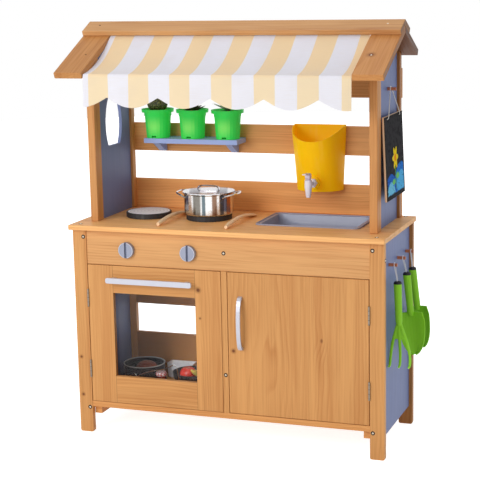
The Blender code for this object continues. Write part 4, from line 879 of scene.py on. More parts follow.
def screw_places():
    """Each screw's place and the way that it faces. All of them are in the kitchen's frame."""
    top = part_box("countertop")[1].z
    leg_heights, side_height, apron_height, divider_height = (0.0734, 0.5655), 0.539, 0.538, 0.200
    from_leg_side, from_post_side, from_rail_end = 0.032, 0.022, 0.012
    off_leg_middle, off_post_middle, off_back_edge = 0.002, -0.001, 0.008
    places = []
    for side, inward, outward in (("left", 1, "-X"), ("right", -1, "X")):
        low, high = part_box(f"front_{side}_leg")
        back_low, back_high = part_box(f"back_{side}_leg")
        outer = low.x if side == "left" else high.x
        in_leg = outer + inward * from_leg_side
        in_post = outer + inward * from_post_side
        middle = (low.y + high.y) / 2
        places += [((in_leg, low.y, height), "-Y") for height in leg_heights]
        places.append(((outer, middle + off_leg_middle, side_height), outward))
        places.append(((in_post, middle + off_post_middle, top), "Z"))
        places += [((in_leg, back_high.y, height), "Y") for height in leg_heights]
        places.append(((in_post, back_low.y + off_back_edge, top), "Z"))
    divider_low, divider_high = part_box("centre_divider")
    divider_x = (divider_low.x + divider_high.x) / 2
    places.append(((divider_x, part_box("front_apron")[0].y, apron_height), "-Y"))
    places.append(((divider_x, divider_low.y, divider_height), "-Y"))
    for rail in ("splashback", "middle_back_rail", "top_back_rail"):
        low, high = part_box(rail)
        for x in (low.x + from_rail_end, high.x - from_rail_end):
            for share in (0.25, 0.75):
                places.append(((x, high.y, low.z + (high.z - low.z) * share), "Y"))
    cap_low, cap_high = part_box("ridge_cap")
    ridge_y = (cap_low.y + cap_high.y) / 2
    from_board_side, cap_screw_nearer = 0.0545, 0.0125
    for name, inward in (("left_front_roof_board", 1), ("right_front_roof_board", -1)):
        low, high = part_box(name)
        in_board = (low.x if inward > 0 else high.x) + inward * from_board_side
        in_cap = in_board - inward * cap_screw_nearer
        for x, from_ridge, ridge_z in (
            (in_board, -0.145, high.z),
            (in_board, 0.115, high.z),
            (in_cap, -0.022, cap_high.z),
            (in_cap, 0.022, cap_high.z),
        ):
            at = (x, ridge_y + from_ridge, ridge_z - ROOF_SLOPE * abs(from_ridge))
            places.append((at, "FRONT_SLOPE" if from_ridge < 0 else "BACK_SLOPE"))
    return places


# Radius of the ring of painted shadow round a screw, in radii of its head
COUNTERSINK = 2.3

# How a screw that is modelled facing up is turned
FACING = {
    "Z": Matrix.Identity(4),
    "-Y": Matrix.Rotation(math.pi / 2, 4, "X"),
    "Y": Matrix.Rotation(-math.pi / 2, 4, "X"),
    "X": Matrix.Rotation(math.pi / 2, 4, "Y"),
    "-X": Matrix.Rotation(-math.pi / 2, 4, "Y"),
    "FRONT_SLOPE": Matrix.Rotation(math.atan(ROOF_SLOPE), 4, "X"),
    "BACK_SLOPE": Matrix.Rotation(-math.atan(ROOF_SLOPE), 4, "X"),
}


def model_screw(radius, rise):
    """A low round head in a flush ring of painted shadow, with a socket in its middle."""
    ring = COUNTERSINK * radius
    skin = 0.00012
    rings = [
        (0.2 * ring, 0.0),
        (ring, 0.0),
        (ring, skin),
        (1.02 * radius, skin),
        (radius, 0.4 * rise),
        (0.86 * radius, rise),
        (0.45 * radius, rise),
        (0.38 * radius, 0.35 * rise),
        (0.0, 0.3 * rise),
    ]
    return settle(drawn_up("screw", rings, (0, 0), 24), angle=40)


class MUDKITCHEN_OT_screws(bpy.types.Operator):
    """Sets the screws in their places"""

    bl_idname = "mudkitchen.screws"
    bl_label = "Screws"

    def execute(self, context):
        settings = settings_of("fittings")
        head = model_screw(settings.screw_radius, settings.screw_rise)
        copies = [
            copied(head, f"screw_{index}", Matrix.Translation(at) @ FACING[way])
            for index, (at, way) in enumerate(screw_places())
        ]
        bpy.data.objects.remove(head)
        zinc = metal("zinc_screws", tint(236, 226, 206), 0.5)
        # Dark plastic for painted shadow in the countersinks and sockets
        dark = plastic("countersink_shadow", tint(46, 28, 16), 0.8)
        screws = joined("screws", copies)
        dress(screws, "kitchen", zinc, dark, slot="hinge_steel")
        shade_countersinks(screws, settings.screw_radius)
        return {"FINISHED"}


def shade_countersinks(screws, radius):
    """Gives each screw's ring and socket painted shadow, and the left roof screws painted shade."""
    places = [(Vector(at), FACING[way].to_3x3()) for at, way in screw_places()]
    for face in screws.data.polygons:
        at, turn = min(places, key=lambda spot: (face.center - spot[0]).length)
        local = turn.inverted() @ (face.center - at)
        distance = math.hypot(local.x, local.y)
        # Screws high on the left of the roof are painted in shade, as they catch no glint
        shaded_roof_screw = at.x < 0 and at.z > 1.0
        in_ring_or_socket = distance > 1.01 * radius or distance < 0.36 * radius
        face.material_index = int(shaded_roof_screw or in_ring_or_socket)


class MUDKITCHEN_OT_hinges(bpy.types.Operator):
    """Finishes the hinges and adds the leaf on each door's edge"""

    bl_idname = "mudkitchen.hinges"
    bl_label = "Hinges"

    def execute(self, context):
        steel = metal("zinc_hinges", settings_of("fittings").zinc, 0.3, knuckle_seams)
        thick, gap, set_back, shorter = 0.0004, 0.0001, 0.0015, 0.004
        for door, leaf_body, frame_node, side in (
            ("oven", "oven_door", "oven_door_frame", -1),
            ("cupboard", "cupboard_door_leaf", "cupboard_door", 1),
        ):
            low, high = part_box(frame_node)
            edge = low.x if side < 0 else high.x
            for level in ("upper", "lower"):
                name = f"{door}_{level}_hinge"
                coat(steel, name)
                hinge_low, hinge_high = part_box(name)
                size = hinge_high - hinge_low
                middle = (hinge_low + hinge_high) / 2 + Vector((0, set_back, 0))
                middle.x = edge + side * (thick / 2 + gap)
                leaf = begin(
                    bpy.ops.mesh.primitive_cube_add, f"{name}_door_leaf", size=1, location=middle
                )
                leaf.scale = (thick, size.y - shorter, size.z)
                settle(leaf, smooth=False)
                rounded(leaf, 0.0001, 1)
                with editing(leaf):
                    pick(leaf, lambda at: abs(at.x - middle.x) > 0.4 * thick)
                    bpy.ops.mesh.subdivide(number_cuts=3)
                close_up(leaf)
                dress(leaf, leaf_body, steel, slot="hinge_steel")
        return {"FINISHED"}


def knuckle_seams(tree):
    """Dark lines between the knuckles of a hinge."""
    knuckle = 0.0125
    part = maths(tree, "FRACT", maths(tree, "DIVIDE", position(tree, "Z"), knuckle))
    return [(near(tree, part, 0.5, 0.06), (0.05, 0.05, 0.05))]


# Handles, knobs and glass


class MUDKITCHEN_OT_handles(bpy.types.Operator):
    """Finishes the handles, the knobs and the oven's pane"""

    bl_idname = "mudkitchen.handles"
    bl_label = "Handles, knobs and pane"

    def execute(self, context):
        settings = settings_of("fittings")
        silver = plastic("silver_handles", settings.silver, 0.32, metallic=0.25)
        coat(silver, "oven_handle", "cupboard_handle")
        for name in ("left_knob", "right_knob"):
            marks = knob_marks(name, settings.groove)
            coat(plastic("silver_" + name, settings.knob, 0.4, metallic=0.2, marks=marks), name)
        coat(clear_pane(), "oven_window")
        return {"FINISHED"}


def knob_marks(name, groove):
    """Painted shade in a knob's groove, and a pale ring of painted highlight near its rim."""
    face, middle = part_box(name)[0].y, middle_of(name)
    side, floor, lip = (0.0034, 0.0031), (0.0042, 0.0036), (0.0018, 0.0024)
    ring_radius, ring_width = 0.0206, 0.0012

    def marks(tree):
        x, y, z = split(tree, coordinates(tree))
        aside = apart(tree, x, middle.x)
        line = ease(tree, aside, *side)
        front = ease(tree, y, *(face + depth for depth in floor))
        back = ease(tree, y, *(face + depth for depth in lip))
        distance = slant(tree, aside, minus(tree, z, middle.z))
        ring = times(tree, near(tree, distance, ring_radius, ring_width), 0.6)
        return [
            # The pale ring is a painted highlight, and the groove's colour painted shade
            (ring, (0.75, 0.77, 0.85)),
            (times(tree, line, front, back), tuple(groove)),
        ]

    return marks


def clear_pane():
    """Clear acrylic that casts no shadow, so that the oven isn't dark."""
    material, tree, shader = new_material(
        "clear_pane", Transmission_Weight=1.0, IOR=1.2, Base_Color=(0.96, 0.98, 0.99, 1)
    )
    tones = uneven_tone(tree, Vector=coordinates(tree), Size=0.1)
    feed(tree, shader, Roughness=ease(tree, tones["Smudge"], 0.0, 1.0, 0.0, 0.02))
    unseen = add(tree, "BsdfTransparent").outputs[0]
    to_light = add(tree, "LightPath").outputs["Is Shadow Ray"]
    mixed = add(tree, "MixShader", {0: to_light, 1: shader.outputs[0], 2: unseen})
    tree.links.new(mixed.outputs[0], tree.nodes["Material Output"].inputs[0])
    return material


# Sink, hob, pot


class MUDKITCHEN_OT_worktop(bpy.types.Operator):
    """Finishes the sink, the pot and the hob, and lays a metal disc on each hob plate"""

    bl_idname = "mudkitchen.worktop"
    bl_label = "Sink, hob and pot"

    def execute(self, context):
        settings = settings_of("fittings")
        coat(plastic("sink_grey", settings.sink, 0.4, Coat_Weight=0.2), "sink_basin")
        coat(plastic("hob_black", tint(34, 34, 38), 0.5), "left_hob_plate", "right_hob_plate")
        axis = middle_of("pot")
        room, rail = mirrored_room(axis), mirrored_rail(axis)
        # The pot's side and its lid carry painted reflections
        coat(metal("polished_steel", (0.76, 0.75, 0.74), 0.16, room), "pot")
        coat(metal("polished_lid", (0.74, 0.73, 0.76), 0.14, rail), "pot_lid")
        for side in ("left", "right"):
            self.add_disc(side)
        return {"FINISHED"}

    def add_disc(self, side):
        """A brushed disc with a groove near its rim."""
        low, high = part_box(f"{side}_hob_plate")
        middle = (low + high) / 2
        top, radius = high.z, (high.x - low.x) / 2
        skin = 0.00016
        groove = 0.6 * skin
        profile = (
            (0.02, 0.0), (0.93, 0.0), (0.925, skin), (0.88, skin), (0.87, groove), (0.80, groove),
            (0.79, skin), (0.0, skin),
        )
        rings = rings_of(radius, top, profile)
        disc = settle(drawn_up(f"{side}_hob_disc", rings, (middle.x, middle.y), 64))

        def brushing(tree):
            vector = turned(tree, coordinates(tree), (-middle.x, -middle.y, -top))
            distance = span(tree, vectors(tree, "MULTIPLY", vector, (1.0, 1.0, 0.0)))
            lines = ease(tree, ripple(tree, distance, 620.0), 0.55, 0.95)
            patches = noise(tree, vector, 38.0, 3.0)
            return [
                (ease(tree, patches, 0.42, 0.62, 0.0, 0.7), (0.95, 0.94, 0.97)),
                (times(tree, lines, 0.35), (0.30, 0.30, 0.33)),
            ]

        silver = plastic(
            f"{side}_hob_disc", (0.97, 0.95, 1.00), 0.42, metallic=0.05, marks=brushing
        )
        dress(disc, "kitchen", silver, slot="steel")


# Painted reflections in the pot, as upright bands of a lit room: the angle of their middle,
# width and colour
ROOM_BANDS = (
    (-2.95, 0.34, (46, 38, 56)),
    (-2.52, 0.26, (128, 120, 112)),
    (-1.72, 0.40, (96, 92, 84)),
    (-1.42, 0.16, (66, 84, 92)),
    (-0.98, 0.22, (120, 84, 58)),
    (-0.66, 0.20, (70, 78, 96)),
    (-0.30, 0.30, (178, 118, 72)),
)


def mirrored_room(axis):
    """Painted reflections of a lit room on the pot's round polished side."""

    def marks(tree):
        x, y, _ = split(tree, turned(tree, coordinates(tree), (-axis.x, -axis.y, 0.0)))
        upright = ease(tree, maths(tree, "ABSOLUTE", facing(tree, "Z")), 0.5, 0.2)
        angle = maths(tree, "ARCTAN2", y, x)
        found = []
        for middle, width, paint in ROOM_BANDS:
            off = apart(tree, angle, middle)
            band = ease(tree, off, width * 0.62, width * 0.30)
            found.append((times(tree, band, upright, 0.92), tint(*paint)))
        return found

    return marks


def mirrored_rail(axis):
    """A painted reflection of the rail behind on the lid: dark on both sides of a bright middle."""

    def marks(tree):
        x, y, _ = split(tree, turned(tree, coordinates(tree), (-axis.x, -axis.y, 0.0)))
        flat = ease(tree, facing(tree, "Z"), 0.90, 0.97)
        aside = maths(tree, "ABSOLUTE", plus(tree, x, times(tree, y, 0.35)))
        inner = ease(tree, aside, 0.020, 0.030)
        outer = ease(tree, aside, 0.060, 0.052)
        return [(times(tree, inner, outer, flat, 0.85), tint(84, 72, 84))]

    return marks


# Awning

# Thickness of the cloth's stand-in, and the radius in which it bends at the crease
CAD_CLOTH = 0.0016
BEND = 1.5 * CAD_CLOTH

# How finely the cloth is divided across, down its slope and down its valance
CLOTH_COLUMNS = 192
SLOPE_ROWS = 44
VALANCE_ROWS = 22

# How far right of the cloth's middle a cusp lies, in widths of a scallop
CUSP_SHIFT = -0.0611


class MUDKITCHEN_OT_awning(bpy.types.Operator):
    """Hangs the striped canvas from the ridge to its scalloped edge"""

    bl_idname = "mudkitchen.awning"
    bl_label = "Awning"

    def execute(self, context):
        settings = settings_of("awning")
        low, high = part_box("awning")
        width = high.x - low.x
        rows = self.rows(settings, low.z)
        run = [0.0]
        for (y0, z0, _, _), (y1, z1, _, _) in zip(rows, rows[1:]):
            run.append(run[-1] + math.hypot(y1 - y0, z1 - z0))
        cloth = begin(
            bpy.ops.mesh.primitive_grid_add, "awning_canvas", x_subdivisions=CLOTH_COLUMNS,
            y_subdivisions=len(rows) - 1, size=1,
        )
        self.hang(cloth, settings, low.x, width, rows, run)
        apply(cloth, "SOLIDIFY", thickness=settings.thickness, offset=0.0)
        settle(cloth, angle=60)
        with editing(cloth):
            bpy.ops.mesh.select_all(action="SELECT")
            bpy.ops.mesh.normals_make_consistent(inside=False)
        crease_run = run[-1 - VALANCE_ROWS]
        dress(cloth, "kitchen", canvas(settings, width, crease_run), slot="canvas")
        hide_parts("awning")
        return {"FINISHED"}

    def rows(self, settings, foot):
        """The cloth's rows from its tuck to its foot, each as (y, z, looseness, hang).

        Looseness is 1 where a row is furthest from what holds it. Hang goes from 0 at the crease
        to 1 at the foot.
        """
        cap_low, cap_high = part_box("ridge_cap")
        ridge_y = (cap_low.y + cap_high.y) / 2
        roof_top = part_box("left_front_roof_board")[1].z
        cap_reach, clearance = 0.048, 0.0002
        start_y = ridge_y - cap_reach
        head_z = roof_top - ROOF_SLOPE * (ridge_y - start_y) - CAD_CLOTH
        crease_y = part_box("awning_rail")[0].y - clearance
        crease_z = foot + settings.valance + settings.scallop_depth
        tuck_steps, under_roof, slope_start = 4, 0.0012, 0.93
        rows = []
        for step in range(tuck_steps + 1):
            y = start_y + settings.tuck * (1 - 2 / 3 * step / tuck_steps)
            rows.append((y, roof_top - ROOF_SLOPE * (ridge_y - y) - under_roof, 0.0, 0.0))
        for step in range(SLOPE_ROWS + 1):
            share = slope_start * (1 - step / SLOPE_ROWS)
            y = crease_y + (start_y - crease_y) * share
            z = crease_z + (head_z - crease_z) * share - 4 * settings.sag * share * (1 - share)
            rows.append((y, z, math.sin(math.pi * share), 0.0))
        for step in range(1, VALANCE_ROWS + 1):
            rows.append((crease_y - BEND / 2, crease_z - BEND, 0.0, step / VALANCE_ROWS))
        return rows

    def hang(self, cloth, settings, left, width, rows, run):
        """Lays a flat grid along the rows, and its texture coordinates along the flat cloth."""
        fold_depth, sway_depth, foot_depth = 0.0015, 0.0009, 0.0012
        places = {}
        for vertex in cloth.data.vertices:
            across = round((vertex.co.x + 0.5) * CLOTH_COLUMNS)
            down = round((0.5 - vertex.co.y) * (len(rows) - 1))
            x = left + width * across / CLOTH_COLUMNS
            y, z, loose, hang = rows[down]
            from_middle = x - left - width / 2
            scallop = math.sin(math.pi * (from_middle / settings.scallop_width - CUSP_SHIFT))
            drop = (settings.valance + settings.scallop_depth * abs(scallop) - BEND) * hang
            sway = math.sin(23 * x + 31 * y) * math.sin(11 * x + 3)
            z -= fold_depth * math.cos(8 * math.pi * from_middle / width) * loose
            z += sway_depth * sway * loose - drop
            y -= settings.flare * hang * scallop**2
            y -= foot_depth * hang * math.sin(41 * x + 1) * math.sin(17 * x)
            vertex.co = (x, y, z)
            places[vertex.index] = (x - left, run[down] + drop)
        uv = cloth.data.uv_layers.active or cloth.data.uv_layers.new(name="Cloth")
        for loop in cloth.data.loops:
            uv.data[loop.index].uv = places[loop.vertex_index]


def canvas(settings, width, crease):
    """Woven canvas with printed stripes and a stitched hem at its sides."""
    material, tree, shader = new_material("striped_canvas", Sheen_Weight=0.25, Sheen_Roughness=0.5)
    vector = coordinates(tree, "UV")
    across, along, _ = split(tree, vector)
    weave = plain_weave(tree, Vector=vector, Threads=1400.0)
    tones = uneven_tone(tree, Vector=vector, Size=0.09)
    ragged = times(tree, minus(tree, weave["Thread"], 0.5), 0.0015)
    from_first = minus(tree, plus(tree, across, ragged), settings.first_stripe)
    # Four whole pitches keep the phase above zero left of the first stripe
    phase = plus(tree, maths(tree, "DIVIDE", from_first, settings.stripe_pitch), 4.0)
    phase = maths(tree, "FRACT", phase)
    share = settings.stripe_width / settings.stripe_pitch
    soft = 0.010
    dyed = times(tree, ease(tree, phase, 0.0, soft), ease(tree, phase, share + soft, share))
    # The slope is painted deeper and greyer than the valance of the same cloth, as painted shade
    on_slope = minus(tree, 1.0, ease(tree, along, crease - 0.006, crease + 0.012))
    slope_shade = blend(tree, dyed, (0.74, 0.73, 0.84), (0.88, 0.58, 0.28))
    from_side = maths(tree, "MINIMUM", across, minus(tree, width, across))
    stitches = ease(tree, ripple(tree, along, 1400.0), -0.2, 0.4)
    seam = near(tree, from_side, settings.hem, 0.0006)
    look = layered(
        tree, blend(tree, dyed, tuple(settings.white), tuple(settings.yellow)),
        (times(tree, on_slope, 0.45), slope_shade),
        (ease(tree, weave["Thread"], 0.35, 0.75, 0.0, 0.10), scaled(settings.yellow, 0.8)),
        (ease(tree, tones["Tone"], 0.45, 0.75, 0.0, 0.10), (0.62, 0.52, 0.45)),
        (times(tree, seam, stitches, 0.35), (0.55, 0.50, 0.48)),
    )
    rough = ease(tree, weave["Height"], 0.0, 1.0, 0.92, 0.78)
    feed(tree, shader, Base_Color=look, Roughness=rough)
    hem = ease(tree, from_side, settings.hem + 0.0008, settings.hem - 0.0004)
    bump(tree, shader, plus(tree, weave["Height"], times(tree, hem, 2.0)), 0.00025, 0.5)
    return material


# Plants


def soil_material():
    """Dark crumbs with a few pale specks."""
    material, tree, shader = new_material("potting_soil", Roughness=0.95)
    vector = coordinates(tree)
    crumbs = noise(tree, vector, 420.0, 4.0)
    specks = ease(tree, noise(tree, vector, 900.0, 1.0), 0.64, 0.72)
    look = blend(tree, ease(tree, crumbs, 0.3, 0.7), tint(34, 22, 14), tint(78, 54, 36))
    look = blend(tree, specks, look, tint(150, 132, 108))
    feed(tree, shader, Base_Color=look)
    bump(tree, shader, crumbs, 0.002, 0.8)
    return material


def patchy_skin(name, base, patch, patch_scale=55.0):
    """A leaf, a crust or a fruit's skin, with veins and with patches of a second colour."""
    material, tree, shader = new_material(name, Subsurface_Weight=0.08, Subsurface_Scale=0.004)
    vector = coordinates(tree)
    veins = noise(tree, vector, 260.0, 3.0)
    patches = noise(tree, vector, patch_scale, 2.0)
    look = blend(tree, ease(tree, veins, 0.35, 0.7), scaled(base, 0.7), base)
    look = blend(tree, ease(tree, patches, 0.48, 0.60, 0.0, 0.85), look, patch)
    feed(tree, shader, Base_Color=look, Roughness=ease(tree, veins, 0.3, 0.7, 0.38, 0.6))
    bump(tree, shader, veins, 0.0006, 0.5)
    return material


def model_leaf(name, reach, width, thick, curl):
    """A fleshy leaf that starts at the origin, goes out along +X and curls up at its tip."""
    leaf = begin(
        bpy.ops.mesh.primitive_uv_sphere_add, name, segments=10, ring_count=10, radius=0.5,
        rotation=(0, math.pi / 2, 0),
    )
    leaf.scale = (thick, width, reach)
    only(leaf)
    bpy.ops.object.transform_apply(location=False, rotation=True, scale=True)
    widest = 0.55
    for vertex in leaf.data.vertices:
        share = vertex.co.x / reach + 0.5
        pinch = 1 - 0.75 * max(0.0, share - widest) / (1 - widest)
        across = min(1, abs(vertex.co.y) / (0.5 * width))
        hollow = -0.25 * thick * math.cos(math.pi * across)
        vertex.co.y *= pinch
        vertex.co.z = (vertex.co.z + hollow) * pinch + curl * share * share
        vertex.co.x += reach / 2
    finer(leaf)
    return settle(leaf, angle=80)


def model_cactus(name, middle, radius, height, ribs):
    """A ribbed ball: the valleys between the ribs are drawn in."""
    ball = begin(
        bpy.ops.mesh.primitive_uv_sphere_add, name, segments=4 * ribs, ring_count=16,
        radius=radius, location=middle,
    )
    ball.scale = (1, 1, height / (2 * radius))
    settle(ball, smooth=False)

    def in_valley(at):
        off = at - middle
        between_ribs = math.cos(ribs * math.atan2(off.y, off.x)) < -0.5
        return between_ribs and math.hypot(off.x, off.y) > 0.1 * radius

    with editing(ball):
        pick(ball, in_valley, "VERT")
        bpy.ops.transform.resize(value=(0.84, 0.84, 1), center_override=middle)
    finer(ball)
    return settle(ball, angle=80)


def cactus_spikes(name, middle, radius, height, ribs, count):
    """Pairs of short pale spikes along the ribs."""
    long = 0.005
    spike = begin(
        bpy.ops.mesh.primitive_cone_add, "spike", vertices=4, radius1=0.0007, radius2=0.00015,
        depth=long, location=(0, 0, long / 2),
    )
    settle(spike, smooth=False)
    spikes = []
    for rib in range(ribs):
        angle = 2 * math.pi * rib / ribs
        for step in range(count):
            lift = math.pi * (0.08 + 0.40 * step / count)
            out = radius * math.cos(lift)
            up = height / 2 * math.sin(lift)
            at = middle + Vector((out * math.cos(angle), out * math.sin(angle), up))
            for lean in (-0.5, 0.5):
                way = (math.cos(angle + lean), math.sin(angle + lean), 0.5 + math.sin(lift))
                turn = Vector((0, 0, 1)).rotation_difference(Vector(way)).to_matrix().to_4x4()
                spikes.append(copied(spike, "spike_copy", Matrix.Translation(at) @ turn))
    bpy.data.objects.remove(spike)
    return joined(name, spikes)


# Rows of leaves: how many, their reach and width, how many degrees they rise, and how far the
# row is turned, in leaves
ROSETTE = ((11, 0.041, 0.016, 10, 0.0), (9, 0.030, 0.014, 22, 0.5), (6, 0.018, 0.010, 40, 0.2))
FOUNTAIN = ((14, 0.050, 0.009, 34, 0.0), (11, 0.046, 0.008, 52, 0.4), (7, 0.034, 0.007, 68, 0.1))

# Where leaves start, from the top of the soil
LEAF_FOOT = Vector((0, 0, 0.003))


def model_leaves(name, foot, rows, thick, curl, back_reach=1.0):
    """Leaves round the foot. Those that point back reach only back_reach as far."""
    leaves = []
    for count, reach, width, rise, start in rows:
        leaf = model_leaf("leaf", reach, width, thick, curl)
        for step in range(count):
            angle = 2 * math.pi * (step + start) / count
            share = back_reach if math.sin(angle) > 0.2 else 1.0
            turn = (
                Matrix.Translation(foot)
                @ Matrix.Rotation(angle, 4, "Z")
                @ Matrix.Rotation(-math.radians(rise), 4, "Y")
                @ Matrix.Diagonal((share, 1.0, 1.0, 1.0))
            )
            leaves.append(copied(leaf, "leaf_copy", turn))
        bpy.data.objects.remove(leaf)
    return joined(name, leaves)


class MUDKITCHEN_OT_plants(bpy.types.Operator):
    """Fills the three pots with soil and plants"""

    bl_idname = "mudkitchen.plants"
    bl_label = "Pots and plants"

    def execute(self, context):
        settings = settings_of("toys")
        # Emission paints a green glow into the pots, and the marks a pool of light on their fronts
        green = plastic(
            "pot_green", settings.plant_pot, 0.5, marks=painted_pot_light,
            Subsurface_Weight=0.3, Subsurface_Scale=0.01, Specular_IOR_Level=0.25,
            Emission_Color=(0.05, 0.80, 0.12, 1.0), Emission_Strength=0.07,
        )
        coat(green, "plant_pot_1", "plant_pot_2", "plant_pot_3")
        soil = soil_material()
        for index, plant in enumerate((self.cactus, self.rosette, self.fountain), 1):
            body = f"plant_pot_{index}_body"
            plant(body, self.fill(index, body, soil), settings)
        return {"FINISHED"}

    def fill(self, index, body, soil):
        """Heaps soil in a pot and returns the middle of its top."""
        low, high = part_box(f"plant_pot_{index}")
        middle = (low + high) / 2
        wall, below_rim = 0.0098, 0.007
        radius = (high.x - low.x) / 2 - wall
        top = high.z - below_rim
        profile = (
            (0.3, -0.006), (0.97, -0.005), (1.0, -0.002), (0.8, 0.001), (0.55, 0.003),
            (0.3, 0.004), (0.0, 0.004),
        )
        rings = rings_of(radius, top, profile)
        heap = drawn_up(f"soil_{index}", rings, (middle.x, middle.y), 40)
        chance = random.Random(index)
        for vertex in heap.data.vertices:
            if math.hypot(vertex.co.x - middle.x, vertex.co.y - middle.y) < 0.9 * radius:
                vertex.co.z += chance.uniform(-0.0012, 0.0012)
        finer(heap)
        settle(heap, angle=70)
        dress(heap, body, soil)
        return Vector((middle.x, middle.y, top))

    def cactus(self, body, top, settings):
        radius, height, sunk = 0.031, 0.066, 0.006
        size = (top + Vector((0, 0, height / 2 - sunk)), radius, height, settings.cactus_ribs)
        skin = patchy_skin("cactus_skin", tuple(settings.cactus), tint(138, 140, 74), 330.0)
        dress(model_cactus("cactus", *size), body, skin)
        pale = patchy_skin("spike_pale", tint(210, 190, 150), tint(230, 220, 190))
        dress(cactus_spikes("cactus_spikes", *size, settings.spikes), body, pale)

    def rosette(self, body, top, settings):
        leaf = tuple(settings.leaf)
        look = patchy_skin("rosette_leaf", leaf, scaled(leaf, 2.0))
        leaves = model_leaves("rosette", top + LEAF_FOOT, ROSETTE, 0.0042, 0.006)
        dress(leaves, body, look)

    def fountain(self, body, top, settings):
        look = patchy_skin("pale_leaf", tint(150, 180, 128), tuple(settings.pale_leaf))
        leaves = model_leaves(
            "fountain_plant", top + LEAF_FOOT, FOUNTAIN, 0.0016, -0.006, back_reach=0.5
        )
        dress(leaves, body, look)


def painted_pot_light(tree):
    """A painted pool of light on the front of a pot, where light comes through it."""
    forward = times(tree, facing(tree, "Y"), -1.0)
    level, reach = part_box("plant_pot_1")[0].z + 0.033, 0.034
    band = ease(tree, apart(tree, position(tree, "Z"), level), reach, 0.0)
    return [(times(tree, band, ease(tree, forward, 0.72, 1.0), 0.75), tint(150, 255, 120))]


# Water tank


class MUDKITCHEN_OT_tank(bpy.types.Operator):
    """Finishes the water tank, its tap and the lever"""

    bl_idname = "mudkitchen.tank"
    bl_label = "Water tank"

    def execute(self, context):
        settings = settings_of("fittings")
        # Emission paints an orange glow into the tank
        coat(
            plastic(
                "tank_yellow", settings.tank, 0.5,
                Subsurface_Weight=0.35, Subsurface_Scale=0.02, Specular_IOR_Level=0.2,
                Emission_Color=(1.0, 0.50, 0.0, 1.0), Emission_Strength=0.14,
            ),
            "water_dispenser",
        )
        coat(plastic("tap_white", settings.tap, 0.3), "dispenser_tap")
        coat(plastic("lever_grey", settings.lever, 0.35), "tap_lever")
        return {"FINISHED"}


# Blackboard


class MUDKITCHEN_OT_blackboard(bpy.types.Operator):
    """Paints the blackboard's face and leaves its edges bare"""

    bl_idname = "mudkitchen.blackboard"
    bl_label = "Blackboard"

    def execute(self, context):
        coat(board_material(), "blackboard")
        coat(cord_material(), "blackboard_cord")
        return {"FINISHED"}


def cord_material():
    """White cotton with a twist."""
    material, tree, shader = new_material("cotton_cord")
    twist = ripple(tree, position(tree, "Z"), 2600.0)
    look = blend(tree, ease(tree, twist, -1.0, 1.0), tint(222, 216, 204), tint(250, 248, 242))
    feed(tree, shader, Base_Color=look, Roughness=ease(tree, twist, -1.0, 1.0, 0.95, 0.8))
    bump(tree, shader, twist, 0.0003, 0.5)
    return material


def board_material():
    """Matt black with chalk dust and a painted picture, and bare wood at the edges."""
    low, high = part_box("blackboard")
    material, tree, shader = new_material("blackboard_face", Specular_IOR_Level=0.04)
    vector = coordinates(tree)
    tones = uneven_tone(tree, Vector=vector, Size=0.06)
    strokes = noise(tree, turned(tree, vector, scale=(60.0, 90.0, 240.0)), 1.0, 2.0)
    look = layered(
        tree, tint(14, 12, 17),
        (ease(tree, tones["Tone"], 0.4, 0.75, 0.0, 0.5), tint(24, 22, 28)),
        (times(tree, tones["Smudge"], 0.012), tint(150, 150, 150)),
        *picture(tree, vector, strokes, low, high.y - low.y),
    )
    face = ease(tree, facing(tree, "X"), 0.5, 0.7)
    in_tree = turned(tree, vector, (3.0, 0.05, 0.06), ALONG["Z"])
    grain = sawn_grain(tree, Vector=in_tree, Ring_Spacing=0.004)
    bare = blend(tree, grain["Rings"], tint(244, 212, 178), tint(222, 182, 142))
    rough = ease(tree, tones["Smudge"], 0.0, 1.0, 0.62, 0.8)
    feed(tree, shader, Base_Color=blend(tree, face, bare, look), Roughness=rough)
    bump(tree, shader, plus(tree, strokes, grain["Fibres"]), 0.0002, 0.3)
    return material


# Hills in the picture: the middle, radius and colour of each, in widths of the board
HILLS = (
    ((0.80, 0.02), 0.42, (34, 120, 214)),
    ((0.80, 0.02), 0.31, (92, 190, 244)),
    ((0.24, 0.0), 0.34, (30, 100, 198)),
    ((0.24, 0.0), 0.23, (120, 206, 240)),
)

# Leaves beside the stem: their middle, and how much flatter than round they are
STEM_LEAVES = (((0.40, 0.22), 2.2), ((0.61, 0.28), 2.0))


